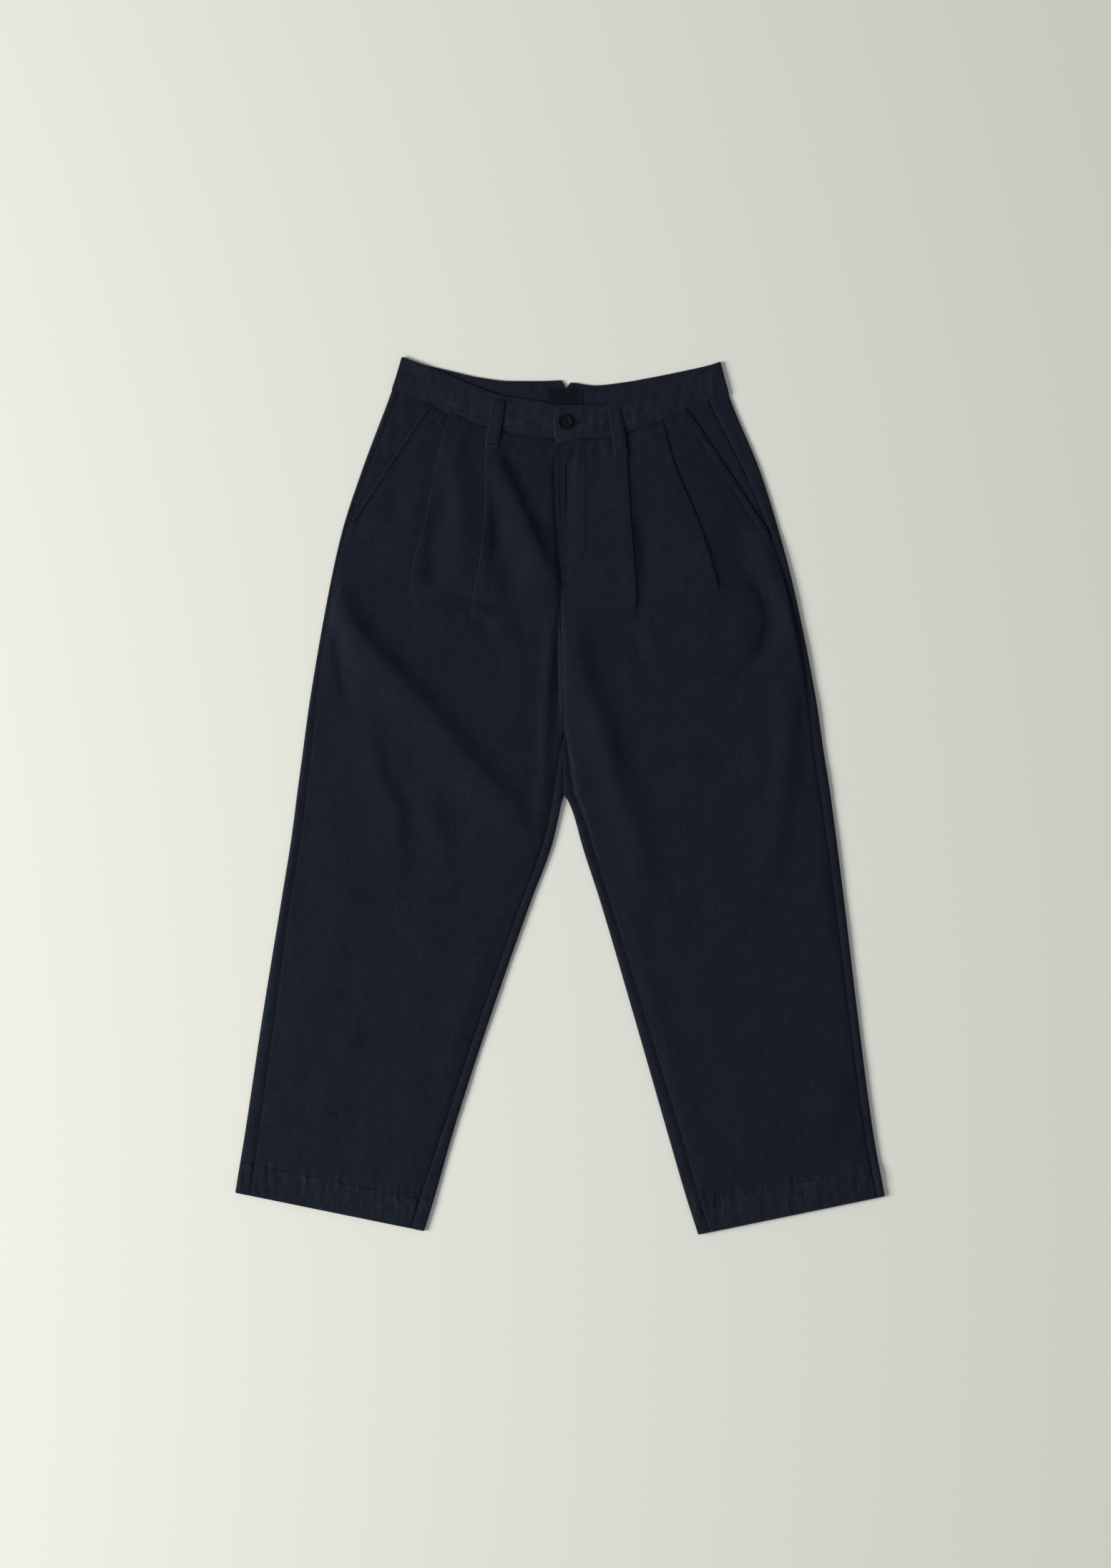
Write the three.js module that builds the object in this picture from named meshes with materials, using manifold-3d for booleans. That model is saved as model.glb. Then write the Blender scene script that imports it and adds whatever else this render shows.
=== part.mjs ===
// Wide-leg pleated trousers, laid flat on their back: waist towards +Y, front facing up (+Z).
// Millimetres. Z = 0 is the surface they lie on. Left and right are the wearer's: left is +X.
//
// Every cloth piece is a grid of middle points (rows run down the leg, columns run inwards from
// the side) given a wall. A section is worked out in "out", the distance from X = 0 towards the
// side seam, so both legs share the same functions and differ only in their tables.
import * as THREE from 'three';
import { mergeVertices } from 'three/addons/utils/BufferGeometryUtils.js';
import Module from 'manifold-3d';

const wasm = await Module();
wasm.setup();

// Driving dimensions
const CLOTH = 1.1;          // wall of one layer of cotton twill
const HEM_WALL = 2.2;       // wall where the hem is turned up double
const BAND_WALL = 2.2;      // waistband: two layers and their interlining
const BAND_EDGE_WALL = 1.6; // waistband at its pressed edges
const GAP = 0.3;            // between neighbouring pieces, and between stacked layers
const LAYER = CLOTH + GAP;  // rise from one layer to the next
const CENTRE = 4;           // X of the centre seams
const TOP_LEVEL = 3.3;      // middle height of the front at its seams
const BAND_GAP = 0.5;       // between the front and the back of the waistband
const BAND_BACK = BAND_WALL / 2;                 // middle height of the back of the waistband
const BAND_FRONT = BAND_WALL * 1.5 + BAND_GAP;   // and of its front
const BAND_LAP = { from: 52, over: 30 };         // where its left end climbs over the right one
const FACING_LEVEL = CLOTH * 1.5 + GAP;          // middle height of a pocket facing
const FACING_TUCK = 12;     // how far a facing runs on beneath the front
const HEM_LEVEL = HEM_WALL * 1.5 + GAP;          // middle height of the front in the hem
const HEM_DEPTH = 35;       // turned-up hem
const CROTCH_Y = -3;        // where the legs part
const CROSS_Y = 72;         // where the inseams meet the front seam
const WAIST_REACH = 0.3;    // share of the length over which the waist's curve fades
const LAP_REACH = 0.05;     // and over which the left front's drop at the lapped end fades
const LAP_WIDTH = { from: 14, over: 16 };        // that drop across the front

// The fly. Its opening ends at endY. The left front crosses the centre by lap, and the right one
// runs on under it. Near the waistband the left front rises from riseY, over riseOver, to lie
// on the lapped end; further down the right one dips by one layer from dipY upwards.
const FLY = {
  endY: 238, closedY: 196, lap: 9.5, under: 12,
  rise: 2, riseY: 362, riseOver: 26, riseWidth: 46, riseSlope: 30,
  dipY: 168, dipOver: 24, dipWidth: 30, dipSlope: 14,
};

// A front's fullness between its seams, and where it and the soft folds fade out: towards the
// side and the centre, above topY, and to a share in the stiffer hem.
const FULLNESS = { crown: 0.6, side: 26, centre: 20, topY: 335, topFade: 40, hemShare: 0.15 };

// A pleat is folded from six runs of cloth. Each turns away from the row by its heading when the
// pleat is closed, and all lie flat once it has opened.
const PLEAT_HEADINGS = [45, 135, 180, 180, 135, 45];
const PLEAT_TURN = 0.9;     // radius of its folds
const PLEAT_MIDDLE = 0.5;   // height of its middle layer over the front's own
const PLEAT_UNDER = PLEAT_MIDDLE - 2 * PLEAT_TURN;  // of its lowest layer, which is pressed down
const PLEAT_OVER = PLEAT_MIDDLE + 2 * PLEAT_TURN;   // and of its top layer
const PLEAT_END_DEPTH = 0.6; // what is left of its depth where it ends
const OPEN_OVER = 40;       // length over which it opens out below its end
const OPEN_RUN = 1.2;       // by how much each run widens as it opens
const BESIDE = 13;          // width over which the cloth beside it slopes down

// Each leg, from waist to hem: the outline's distance out, how far in from it the side seam
// lies on the top side, the inner outline, and how far from that the inseam lies.
const RIGHT_LEG = {
  side: -1,
  waist: { outerY: 454, frontY: 399, backY: 427, backSag: 0.95, lapDrop: 0 },
  hem: { outerY: -443, innerY: -486 },
  waistDrop: [
    { f: 0, drop: 0 }, { f: 0.16, drop: 3 }, { f: 0.4, drop: 9.8 }, { f: 0.67, drop: 10.6 },
    { f: 0.84, drop: 5.8 }, { f: 1, drop: 0 },
  ],
  outline: [
    { y: 492, outer: 175, sideSeam: 9, inner: -4, inseam: 1 },
    { y: 454, outer: 187.8, sideSeam: 9, inner: -4, inseam: 1 },
    { y: 362, outer: 222.2, sideSeam: 6.4, inner: -4, inseam: 1 },
    { y: 298, outer: 243, sideSeam: 3.6, inner: -4, inseam: 1 },
    { y: 234, outer: 257.4, sideSeam: 3.2, inner: -4, inseam: 1 },
    { y: 106, outer: 279.8, sideSeam: 7, inner: -4, inseam: 1 },
    { y: 72, outer: 284.6, sideSeam: 8.4, inner: -4, inseam: 1 },
    { y: 46, outer: 288, sideSeam: 9.4, inner: -4, inseam: 5 },
    { y: 0, outer: 294.2, sideSeam: 10.4, inner: -3.6, inseam: 12 },
    { y: -22, outer: 297, sideSeam: 10.4, inner: -0.6, inseam: 12 },
    { y: -54, outer: 301.4, sideSeam: 10.2, inner: 8.8, inseam: 10 },
    { y: -118, outer: 311.8, sideSeam: 10, inner: 32.6, inseam: 10 },
    { y: -246, outer: 332.6, sideSeam: 13.4, inner: 77.6, inseam: 10.6 },
    { y: -374, outer: 351.8, sideSeam: 15.2, inner: 119, inseam: 11.6 },
    { y: -443, outer: 363, sideSeam: 16.6, inner: 138.6, inseam: 15 },
    { y: -490, outer: 370, sideSeam: 17, inner: 153, inseam: 15 },
  ],
  mouth: { topY: 438.4, topOut: 152.6, endY: 304, endOut: 240.6 },
  pleats: [
    {
      endY: 231,
      depth: 16,
      edge: [
        { y: 426, out: 123.8 }, { y: 369, out: 138.2 }, { y: 307, out: 150.2 },
        { y: 246, out: 165.7 }, { y: 231, out: 167.5 }, { y: 0, out: 200 }, { y: -470, out: 293 },
      ],
    },
    {
      endY: 200,
      depth: 14,
      edge: [
        { y: 410, out: 81.5 }, { y: 389, out: 82.5 }, { y: 322, out: 83 }, { y: 262, out: 89.4 },
        { y: 231, out: 95 }, { y: 200, out: 99 }, { y: 0, out: 124 }, { y: -470, out: 230 },
      ],
    },
  ],
  // Soft folds: a crest (or, below zero, a trough) along a bent line, its half width and rise.
  folds: [
    { x: [-257, -170, -40], y: [240, 105, -28], width: 24, rise: 3 },
    { x: [-214, -208, -180], y: [110, 40, -20], width: 12, rise: 1.6 },
    { x: [-12, -17, -22], y: [185, 110, 0], width: 9, rise: 2 },
    { x: [-100, -62, -14], y: [330, 270, 205], width: 16, rise: 2.2 },
    { x: [-250, -236, -244], y: [195, 110, 20], width: 12, rise: -0.9 },
    { x: [-210, -235, -262], y: [-60, -220, -380], width: 34, rise: 1.8 },
    { x: [-115, -150, -190], y: [-60, -230, -390], width: 26, rise: 1.4 },
  ],
  band: {
    foldTop: { out: 176.4, y: 491 },
    frontEnd: [{ q: 0, out: -18 }, { q: 1, out: -18 }],
    frontTop: [
      { out: -20, y: 436.4 }, { out: 3, y: 436.8 }, { out: 18, y: 440.4 }, { out: 48.6, y: 444.8 },
      { out: 69, y: 448.8 }, { out: 99.4, y: 460 }, { out: 144.6, y: 479.2 }, { out: 176.4, y: 491 },
    ],
    backTop: [
      { out: -4, y: 465 }, { out: 26.2, y: 464 }, { out: 58.2, y: 464.2 }, { out: 90.2, y: 468 },
      { out: 122.2, y: 475.2 }, { out: 154.2, y: 483.2 }, { out: 176.4, y: 491 },
    ],
    backEndTop: -1.4,
    notch: -5.85,
    lapRise: 0,
  },
  loop: { x: [-68.2, -76], y: [442.9, 390] },
};

const LEFT_LEG = {
  side: 1,
  waist: { outerY: 448.5, frontY: 398.5, backY: 424, backSag: 0.7, lapDrop: 4.6 },
  hem: { outerY: -447, innerY: -490 },
  waistDrop: [
    { f: 0, drop: 0 }, { f: 0.236, drop: 3.8 }, { f: 0.457, drop: 9.6 }, { f: 0.7, drop: 11.4 },
    { f: 0.87, drop: 5.6 }, { f: 1, drop: 0 },
  ],
  outline: [
    { y: 486, outer: 178, sideSeam: 26, inner: 4, inseam: 1 },
    { y: 448, outer: 189, sideSeam: 25, inner: 4, inseam: 1 },
    { y: 362, outer: 224.2, sideSeam: 18, inner: 4, inseam: 1 },
    { y: 298, outer: 244.2, sideSeam: 12, inner: 4, inseam: 1 },
    { y: 234, outer: 261, sideSeam: 8.4, inner: 4, inseam: 1 },
    { y: 106, outer: 286.6, sideSeam: 10, inner: 4, inseam: 1 },
    { y: 72, outer: 291.6, sideSeam: 11, inner: 4, inseam: 1 },
    { y: 46, outer: 295.4, sideSeam: 11.4, inner: 4, inseam: 5 },
    { y: 0, outer: 302.6, sideSeam: 11.6, inner: 4.6, inseam: 12 },
    { y: -22, outer: 305.6, sideSeam: 11.4, inner: 14, inseam: 12 },
    { y: -54, outer: 309.8, sideSeam: 11, inner: 24.4, inseam: 10.4 },
    { y: -118, outer: 317.8, sideSeam: 10.4, inner: 45, inseam: 10.4 },
    { y: -246, outer: 333, sideSeam: 10, inner: 82.6, inseam: 11.6 },
    { y: -374, outer: 349.8, sideSeam: 9.6, inner: 119.4, inseam: 13.4 },
    { y: -447, outer: 363, sideSeam: 9.4, inner: 140.6, inseam: 13.4 },
    { y: -492, outer: 371, sideSeam: 9.4, inner: 155, inseam: 13.4 },
  ],
  mouth: { topY: 431, topOut: 143.4, endY: 298, endOut: 231.5 },
  pleats: [
    {
      endY: 229,
      depth: 16,
      edge: [
        { y: 424, out: 111.5 }, { y: 413, out: 115.9 }, { y: 378, out: 125 }, { y: 302, out: 155.8 },
        { y: 229, out: 177 }, { y: 0, out: 212 }, { y: -470, out: 294 },
      ],
    },
    {
      endY: 209,
      depth: 14,
      edge: [
        { y: 405, out: 73.8 }, { y: 384, out: 74.6 }, { y: 322, out: 77.8 }, { y: 246, out: 83.8 },
        { y: 209, out: 85.5 }, { y: 0, out: 118 }, { y: -470, out: 232 },
      ],
    },
  ],
  folds: [
    { x: [18, 50, 100], y: [186, 90, -70], width: 17, rise: 2.4 },
    { x: [198, 218, 200], y: [226, 200, 165], width: 13, rise: 1.8 },
    { x: [250, 258, 272], y: [226, 120, -60], width: 12, rise: 2 },
    { x: [196, 170, 140], y: [130, 60, -60], width: 22, rise: 1.2 },
    { x: [205, 232, 262], y: [-60, -220, -380], width: 34, rise: 1.8 },
    { x: [110, 150, 192], y: [-90, -240, -390], width: 26, rise: 1.4 },
  ],
  band: {
    foldTop: { out: 178.8, y: 485.6 },
    frontEnd: [{ q: 0, out: -3 }, { q: 0.4, out: -6.5 }, { q: 0.75, out: -6 }, { q: 1, out: -3.4 }],
    frontTop: [
      { out: -8, y: 435.4 }, { out: 0, y: 436 }, { out: 53, y: 438 }, { out: 68.2, y: 441.1 },
      { out: 93.8, y: 448.6 }, { out: 134.6, y: 467.6 }, { out: 165, y: 480.6 }, { out: 178.8, y: 485.6 },
    ],
    backTop: [
      { out: 4, y: 461 }, { out: 11.6, y: 462.3 }, { out: 37.8, y: 459.2 }, { out: 69.8, y: 462.4 },
      { out: 101.8, y: 468 }, { out: 133.8, y: 474.4 }, { out: 165.8, y: 481.6 }, { out: 178.8, y: 485.6 },
    ],
    backEndTop: 11.6,
    notch: 6.15,
    lapRise: BAND_WALL + GAP,
  },
  loop: { x: [60.8, 68.8], y: [433.6, 379.4] },
};

const LOOP = {
  width: 14.4,
  wall: 1.8,
  seat: BAND_FRONT + BAND_WALL / 2 + GAP,
  over: TOP_LEVEL + PLEAT_OVER + CLOTH / 2 + 2.5 * GAP,
  foot: TOP_LEVEL + PLEAT_OVER + CLOTH / 2 + GAP,
};
const BUTTON = {
  x: 5.9, y: 417.6, radius: 8.3, thickness: 2.6, rim: 1.6, dish: 0.9, hole: 0.85, holeAt: 1.8,
};
const LABEL = { x: 4.2, y: 448.6, width: 42, height: 14.8, wall: 0.8 };

const NAVY = new THREE.MeshStandardMaterial({ color: 0x1b2029, roughness: 0.92, metalness: 0 });
const NAVY_BUTTON = new THREE.MeshStandardMaterial({ color: 0x14171d, roughness: 0.45, metalness: 0 });
const LABEL_CLOTH = new THREE.MeshStandardMaterial({ color: 0x10131a, roughness: 0.7, metalness: 0 });

const clamp01 = (t) => Math.min(1, Math.max(0, t));
const mix = (a, b, t) => a + (b - a) * t;
const smooth = (t) => clamp01(t) ** 2 * (3 - 2 * clamp01(t));
const steps = (count) => Array.from({ length: count + 1 }, (_, i) => i / count);
const between = (from, to, count) => steps(count).map((t) => mix(from, to, t));
const nameOf = (piece, leg) => `${piece}_${leg.side > 0 ? 'left' : 'right'}`;

// A column of a table as a smooth function of its key: a cubic that never overshoots its rows.
function column(table, key, name) {
  const rows = [...table].sort((a, b) => a[key] - b[key]);
  const slopes = rows.slice(1).map((row, i) => (row[name] - rows[i][name]) / (row[key] - rows[i][key]));
  const tangents = rows.map((_, i) => {
    if (i === 0) return slopes[0];
    if (i === rows.length - 1) return slopes[i - 1];
    const [before, after] = [slopes[i - 1], slopes[i]];
    return before * after <= 0 ? 0 : (2 * before * after) / (before + after);
  });
  return (at) => {
    const value = Math.min(rows[rows.length - 1][key], Math.max(rows[0][key], at));
    const i = Math.max(0, rows.findIndex((row) => row[key] >= value) - 1);
    const span = rows[i + 1][key] - rows[i][key];
    const t = (value - rows[i][key]) / span;
    return rows[i][name] * (1 + 2 * t) * (1 - t) ** 2 + rows[i + 1][name] * t ** 2 * (3 - 2 * t)
      + span * (tangents[i] * t * (1 - t) ** 2 - tangents[i + 1] * t ** 2 * (1 - t));
  };
}

// A grid of middle points given a wall: grid[row][column], the wall at each point, and which of
// the cells between them are cloth. Points on a bend are moved out to keep the wall even.
function clothSolid(name, material, grid, wallAt, isCloth = () => true) {
  const rowCount = grid.length - 1;
  const columnCount = grid[0].length - 1;
  const kept = (r, c) => r >= 0 && c >= 0 && r < rowCount && c < columnCount && isCloth(r, c);
  const cellNormal = (r, c) => {
    const across = grid[r][c + 1].clone().sub(grid[r][c]).add(grid[r + 1][c + 1]).sub(grid[r + 1][c]);
    const down = grid[r + 1][c].clone().sub(grid[r][c]).add(grid[r + 1][c + 1]).sub(grid[r][c + 1]);
    return across.cross(down).normalize();
  };
  const positions = [];
  const indexOf = new Map();
  const sides = (r, c) => {
    const key = r * (columnCount + 1) + c;
    if (!indexOf.has(key)) {
      const normals = [[r - 1, c - 1], [r - 1, c], [r, c - 1], [r, c]]
        .filter(([row, col]) => kept(row, col))
        .map(([row, col]) => cellNormal(row, col));
      const sum = normals.reduce((total, normal) => total.add(normal), new THREE.Vector3());
      const mitre = Math.min(1.25, normals.length / sum.length());
      sum.normalize().multiplyScalar(mitre * wallAt(r, c) / 2);
      const point = grid[r][c];
      indexOf.set(key, positions.length / 3);
      positions.push(point.x + sum.x, point.y + sum.y, point.z + sum.z);
      positions.push(point.x - sum.x, point.y - sum.y, point.z - sum.z);
    }
    return indexOf.get(key);
  };
  const triangles = [];
  const quad = (a, b, c, d) => triangles.push(a, b, c, a, c, d);
  for (let r = 0; r < rowCount; r += 1) {
    for (let c = 0; c < columnCount; c += 1) {
      if (!kept(r, c)) continue;
      const corners = [sides(r, c), sides(r, c + 1), sides(r + 1, c + 1), sides(r + 1, c)];
      const [first, second, third, last] = corners.map((corner) => corner + 1);
      quad(...corners);
      quad(first, last, third, second);
      const neighbours = [[r - 1, c], [r, c + 1], [r + 1, c], [r, c - 1]];
      neighbours.forEach(([row, col], edge) => {
        if (kept(row, col)) return;
        const [from, to] = [corners[edge], corners[(edge + 1) % 4]];
        quad(to, from, from + 1, to + 1);
      });
    }
  }
  const geometry = new THREE.BufferGeometry();
  geometry.setAttribute('position', new THREE.Float32BufferAttribute(positions, 3));
  geometry.setIndex(triangles);
  geometry.computeVertexNormals();
  const mesh = new THREE.Mesh(geometry, material);
  mesh.name = name;
  return mesh;
}

// The outline of one leg as functions of y.
function legShape(leg) {
  const shape = Object.fromEntries(
    ['outer', 'sideSeam', 'inner', 'inseam'].map((name) => [name, column(leg.outline, 'y', name)]),
  );
  const mouthRun = (leg.mouth.endOut - leg.mouth.topOut) / (leg.mouth.endY - leg.mouth.topY);
  shape.mouth = (y) => leg.mouth.topOut + (y - leg.mouth.topY) * mouthRun;
  shape.seam = (y) => shape.outer(y) - shape.sideSeam(y);
  shape.drop = column(leg.waistDrop, 'f', 'drop');
  return shape;
}

// A row across a leg: its height along Y at each distance out. v is 0 at the waist seam and 1 at
// the hem, and the waist's curve, and the back's higher rise, fade away down the leg.
function legRow(leg, shape, v, isBack) {
  const { waist, hem } = leg;
  const nearWaist = 1 - smooth(v / WAIST_REACH);
  const outerY = mix(waist.outerY, hem.outerY, v);
  const innerY = mix(waist.frontY, hem.innerY, v) + (isBack ? (waist.backY - waist.frontY) * nearWaist : 0);
  const outer = shape.outer(outerY);
  const inner = innerY > CROTCH_Y + 1 ? leg.side * CENTRE : shape.inner(innerY);
  const sag = nearWaist * (isBack ? waist.backSag : 1);
  const lapDrop = isBack ? 0 : waist.lapDrop * (1 - smooth(v / LAP_REACH));
  const yAt = (out) => {
    const f = clamp01((outer - out) / (outer - inner));
    const lap = lapDrop * smooth((LAP_WIDTH.from - out) / LAP_WIDTH.over);
    return mix(outerY, innerY, f) - sag * shape.drop(f) - lap;
  };
  return { outerY, innerY, outer, inner, yAt, inHem: innerY < hem.innerY + HEM_DEPTH };
}

// The rows that both panels of a leg share, named by their height on the front's centre line.
function legRows(leg, shape, isBack) {
  const { frontY } = leg.waist;
  const hemY = leg.hem.innerY;
  const heights = [
    frontY - 1.8 * GAP, 388, 364, 338, 310, 282, 256, FLY.endY, 222, 206, 190, 172, 148, 120, 96,
    CROSS_Y, 46, 22, CROTCH_Y, -22, -54, -100, -160, -220, -280, -340, -400,
    hemY + HEM_DEPTH + 1, hemY + HEM_DEPTH - 1, hemY,
  ];
  return heights.map((y) => legRow(leg, shape, (frontY - y) / (frontY - hemY), isBack));
}

const wallOf = (row) => (row.inHem ? HEM_WALL : CLOTH);
const levelOf = (row) => (row.inHem ? HEM_LEVEL : TOP_LEVEL);

// The rise of the soft folds at a point.
function foldRise(folds, x, y) {
  let rise = 0;
  for (const fold of folds) {
    let nearest = Infinity;
    let along = 0;
    for (const t of steps(10)) {
      const bend = [(1 - t) ** 2, 2 * t * (1 - t), t ** 2];
      const dx = x - bend.reduce((sum, weight, i) => sum + weight * fold.x[i], 0);
      const dy = y - bend.reduce((sum, weight, i) => sum + weight * fold.y[i], 0);
      const distance = Math.hypot(dx, dy);
      if (distance < nearest) [nearest, along] = [distance, t];
    }
    const fade = smooth(4 * along + 0.3) * smooth(4 * (1 - along) + 0.3);
    rise += fold.rise * fade * Math.exp(-((nearest / fold.width) ** 2));
  }
  return rise;
}

// Where a line given by y crosses a row.
function crossing(row, outAt) {
  let out = outAt((row.outerY + row.innerY) / 2);
  for (let i = 0; i < 8; i += 1) out = outAt(row.yAt(out));
  return out;
}

// The pleat where it crosses a row: the place of its folded edge, its depth, how far it is
// closed, and the seven points of its fold. The cloth runs in beneath, turns back out to the
// folded edge, and turns in again on top. Below its end it opens into plain cloth.
function pleatAt(pleat, edgeAt, row) {
  const edge = crossing(row, edgeAt);
  const topY = pleat.edge[0].y;
  const depth = mix(pleat.depth, PLEAT_END_DEPTH, clamp01((topY - row.yAt(edge)) / (topY - pleat.endY)));
  const closed = 1 - smooth((pleat.endY - row.yAt(edge)) / OPEN_OVER);
  const points = [{ inward: 0, height: 0 }];
  PLEAT_HEADINGS.forEach((degrees, i) => {
    const run = (degrees === 180 ? depth / 2 : PLEAT_TURN * Math.SQRT2) + OPEN_RUN * (1 - closed) ** 2;
    const heading = THREE.MathUtils.degToRad(degrees * closed);
    points.push({
      inward: points[i].inward + run * Math.cos(heading),
      height: points[i].height + run * Math.sin(heading),
    });
  });
  const middle = points[3];
  const squash = mix(0.5, 1, smooth((closed - 0.4) / 0.6));
  const middleLift = Math.max(PLEAT_MIDDLE * closed, PLEAT_UNDER + squash * middle.height);
  const fold = points.map(({ inward, height }) => ({
    out: edge - closed * depth / 2 - (inward - middle.inward),
    lift: middleLift + squash * (height - middle.height),
  }));
  return { edge, depth, closed, fold, under: fold[0].lift, top: fold[6].lift };
}

// Columns beside a pleat: where they lie with the pleat closed, and how high, against an even
// spread from one place to the next once it has opened.
function besidePleat(pleat, closedColumns, from, to) {
  return closedColumns.map(([out, lift], i) => ({
    out: mix(mix(from, to, (i + 1) / (closedColumns.length + 1)), out, pleat.closed),
    lift,
  }));
}

// The columns of a front from its outer edge to its inner one.
function frontColumns(outEdge, inEdge, [first, second]) {
  const inside = (pleat, past) => pleat.edge - pleat.depth - past;
  const half = (pleat) => pleat.edge - pleat.depth / 2;
  const beforeFirst = first.edge + BESIDE;
  const afterSecond = inside(second, 2 + BESIDE);
  const outer = besidePleat(first, [
    [mix(outEdge, beforeFirst, 0.33), 0], [mix(outEdge, beforeFirst, 0.66), 0], [beforeFirst, 0],
    [first.edge + 2, first.under], [half(first), first.under],
  ], outEdge, first.fold[0].out);
  const middle = besidePleat(first, [
    [half(first), first.top], [inside(first, 2), first.top],
    [mix(inside(first, 2), second.edge + 2, 0.5), 0],
    [second.edge + 2, second.under], [half(second), second.under],
  ], first.fold[6].out, second.fold[0].out);
  const inner = besidePleat(second, [
    [half(second), second.top], [inside(second, 2), second.top], [afterSecond, 0],
    ...[0.3, 0.6, 0.84].map((t) => [mix(afterSecond, inEdge, t), 0]),
  ], second.fold[6].out, inEdge);
  return [
    { out: outEdge, lift: 0 }, ...outer, ...first.fold, ...middle, ...second.fold, ...inner,
    { out: inEdge, lift: 0 },
  ];
}

// The inner edge of a front: the fly, then the centre seam, then the inseam.
function frontEdge(leg, shape, row) {
  if (row.innerY <= CROSS_Y) return row.inner + shape.inseam(row.innerY) + GAP;
  const seam = leg.side * CENTRE + GAP / 2;
  const open = smooth((row.innerY - FLY.closedY) / (FLY.endY - FLY.closedY));
  return seam - open * (leg.side > 0 ? FLY.lap : FLY.under - FLY.lap + GAP);
}

// At the fly the right front dips under the left one, which rises to meet the lapped waistband.
function flyLift(leg, y, fromEdge) {
  const atBand = smooth((y - FLY.riseY) / FLY.riseOver);
  if (leg.side > 0) return FLY.rise * atBand * smooth((FLY.riseWidth - fromEdge) / FLY.riseSlope);
  const dip = smooth((y - FLY.dipY) / FLY.dipOver) * smooth((FLY.dipWidth - fromEdge) / FLY.dipSlope);
  return -LAYER * (1 - atBand) * dip;
}

// The height a front gains between its seams: its fullness and its soft folds.
function softRise(leg, row, x, y, fromSide, fromCentre) {
  const free = smooth(fromSide / FULLNESS.side) * smooth(fromCentre / FULLNESS.centre);
  const below = 1 - smooth((y - FULLNESS.topY) / FULLNESS.topFade);
  const share = row.inHem ? FULLNESS.hemShare : 1;
  return (foldRise(leg.folds, x, y) + FULLNESS.crown) * free * below * share;
}

function frontPanel(leg) {
  const shape = legShape(leg);
  const pleatEdges = leg.pleats.map((pleat) => column(pleat.edge, 'y', 'out'));
  const sideEdge = (y) => Math.min(y > leg.mouth.endY ? shape.mouth(y) : Infinity, shape.seam(y) - GAP);
  const rows = legRows(leg, shape, false);
  const grid = rows.map((row) => {
    const outEdge = crossing(row, sideEdge);
    const inEdge = frontEdge(leg, shape, row);
    const pleats = leg.pleats.map((pleat, i) => pleatAt(pleat, pleatEdges[i], row));
    return frontColumns(outEdge, inEdge, pleats).map(({ out, lift }) => {
      const [x, y] = [leg.side * out, row.yAt(out)];
      const fly = flyLift(leg, y, out - inEdge);
      const soft = softRise(leg, row, x, y, outEdge - out, out - inEdge) * Math.min(1, 1 + fly / LAYER);
      return new THREE.Vector3(x, y, levelOf(row) + lift + soft + fly);
    });
  });
  return clothSolid(nameOf('front_leg', leg), NAVY, grid, (r) => wallOf(rows[r]));
}

// A half turn from the top layer down to the bottom one, just inside the outline, in five points.
function turnSection(outline, top, bottom, wall, outwards) {
  const radius = (top - bottom) / 2;
  return steps(4).map((t) => ({
    out: outline - outwards * (wall / 2 + radius * (1 - Math.sin(Math.PI * t))),
    z: (top + bottom) / 2 + radius * Math.cos(Math.PI * t),
  }));
}

// The level of the side seam's strip: it drops to the facing's level along the pocket.
function sideLevelOf(leg, row) {
  const pastMouth = row.outerY - (leg.mouth.endY - 2 * FACING_TUCK);
  return mix(levelOf(row), FACING_LEVEL, smooth(pastMouth / 30));
}

function backPanel(leg) {
  const shape = legShape(leg);
  const rows = legRows(leg, shape, true);
  const crotchRow = rows.findIndex((row) => row.innerY < CROTCH_Y + 1);
  const crossRow = rows.findIndex((row) => row.innerY < CROSS_Y + 1);
  const centre = leg.side * CENTRE + GAP / 2;
  const grid = rows.map((row, r) => {
    const bottom = wallOf(row) / 2;
    const sideLevel = sideLevelOf(leg, row);
    const outer = turnSection(row.outer, sideLevel, bottom, wallOf(row), 1);
    const inner = r >= crotchRow
      ? turnSection(row.inner, levelOf(row), bottom, wallOf(row), -1).reverse()
      : steps(4).map((t) => ({ out: centre, z: mix(bottom, levelOf(row), t) }));
    const flat = [0.1, 0.2, 0.31, 0.43, 0.55, 0.67, 0.79, 0.9].map((t) => (
      { out: mix(outer[4].out, inner[0].out, t), z: bottom }
    ));
    const section = [
      { out: crossing(row, shape.seam), z: sideLevel }, ...outer, ...flat, ...inner,
      { out: row.inner + shape.inseam(row.innerY), z: levelOf(row) },
    ];
    return section.map(({ out, z }) => new THREE.Vector3(leg.side * out, row.yAt(out), z));
  });
  // Above the crotch the inner turn is left out, but a tongue of the back still lies on top.
  const tongue = grid[0].length - 2;
  const isCloth = (r, c) => c < tongue - 4 || r >= crotchRow || (c === tongue && r >= crossRow);
  return clothSolid(nameOf('back_leg', leg), NAVY, grid, (r) => wallOf(rows[r]), isCloth);
}

// The piece behind a slanted pocket mouth, from the side seam to just under the front.
function pocketFacing(leg) {
  const shape = legShape(leg);
  const rows = legRows(leg, shape, false).filter((row) => row.outerY > leg.mouth.endY - 2 * FACING_TUCK);
  const grid = rows.map((row) => {
    const from = crossing(row, shape.seam) - GAP;
    const to = crossing(row, shape.mouth) - FACING_TUCK;
    return between(from, Math.min(to, from - FACING_TUCK), 4).map((out) => (
      new THREE.Vector3(leg.side * out, row.yAt(out), FACING_LEVEL)
    ));
  });
  return clothSolid(nameOf('pocket_facing', leg), NAVY, grid, () => CLOTH);
}

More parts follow.
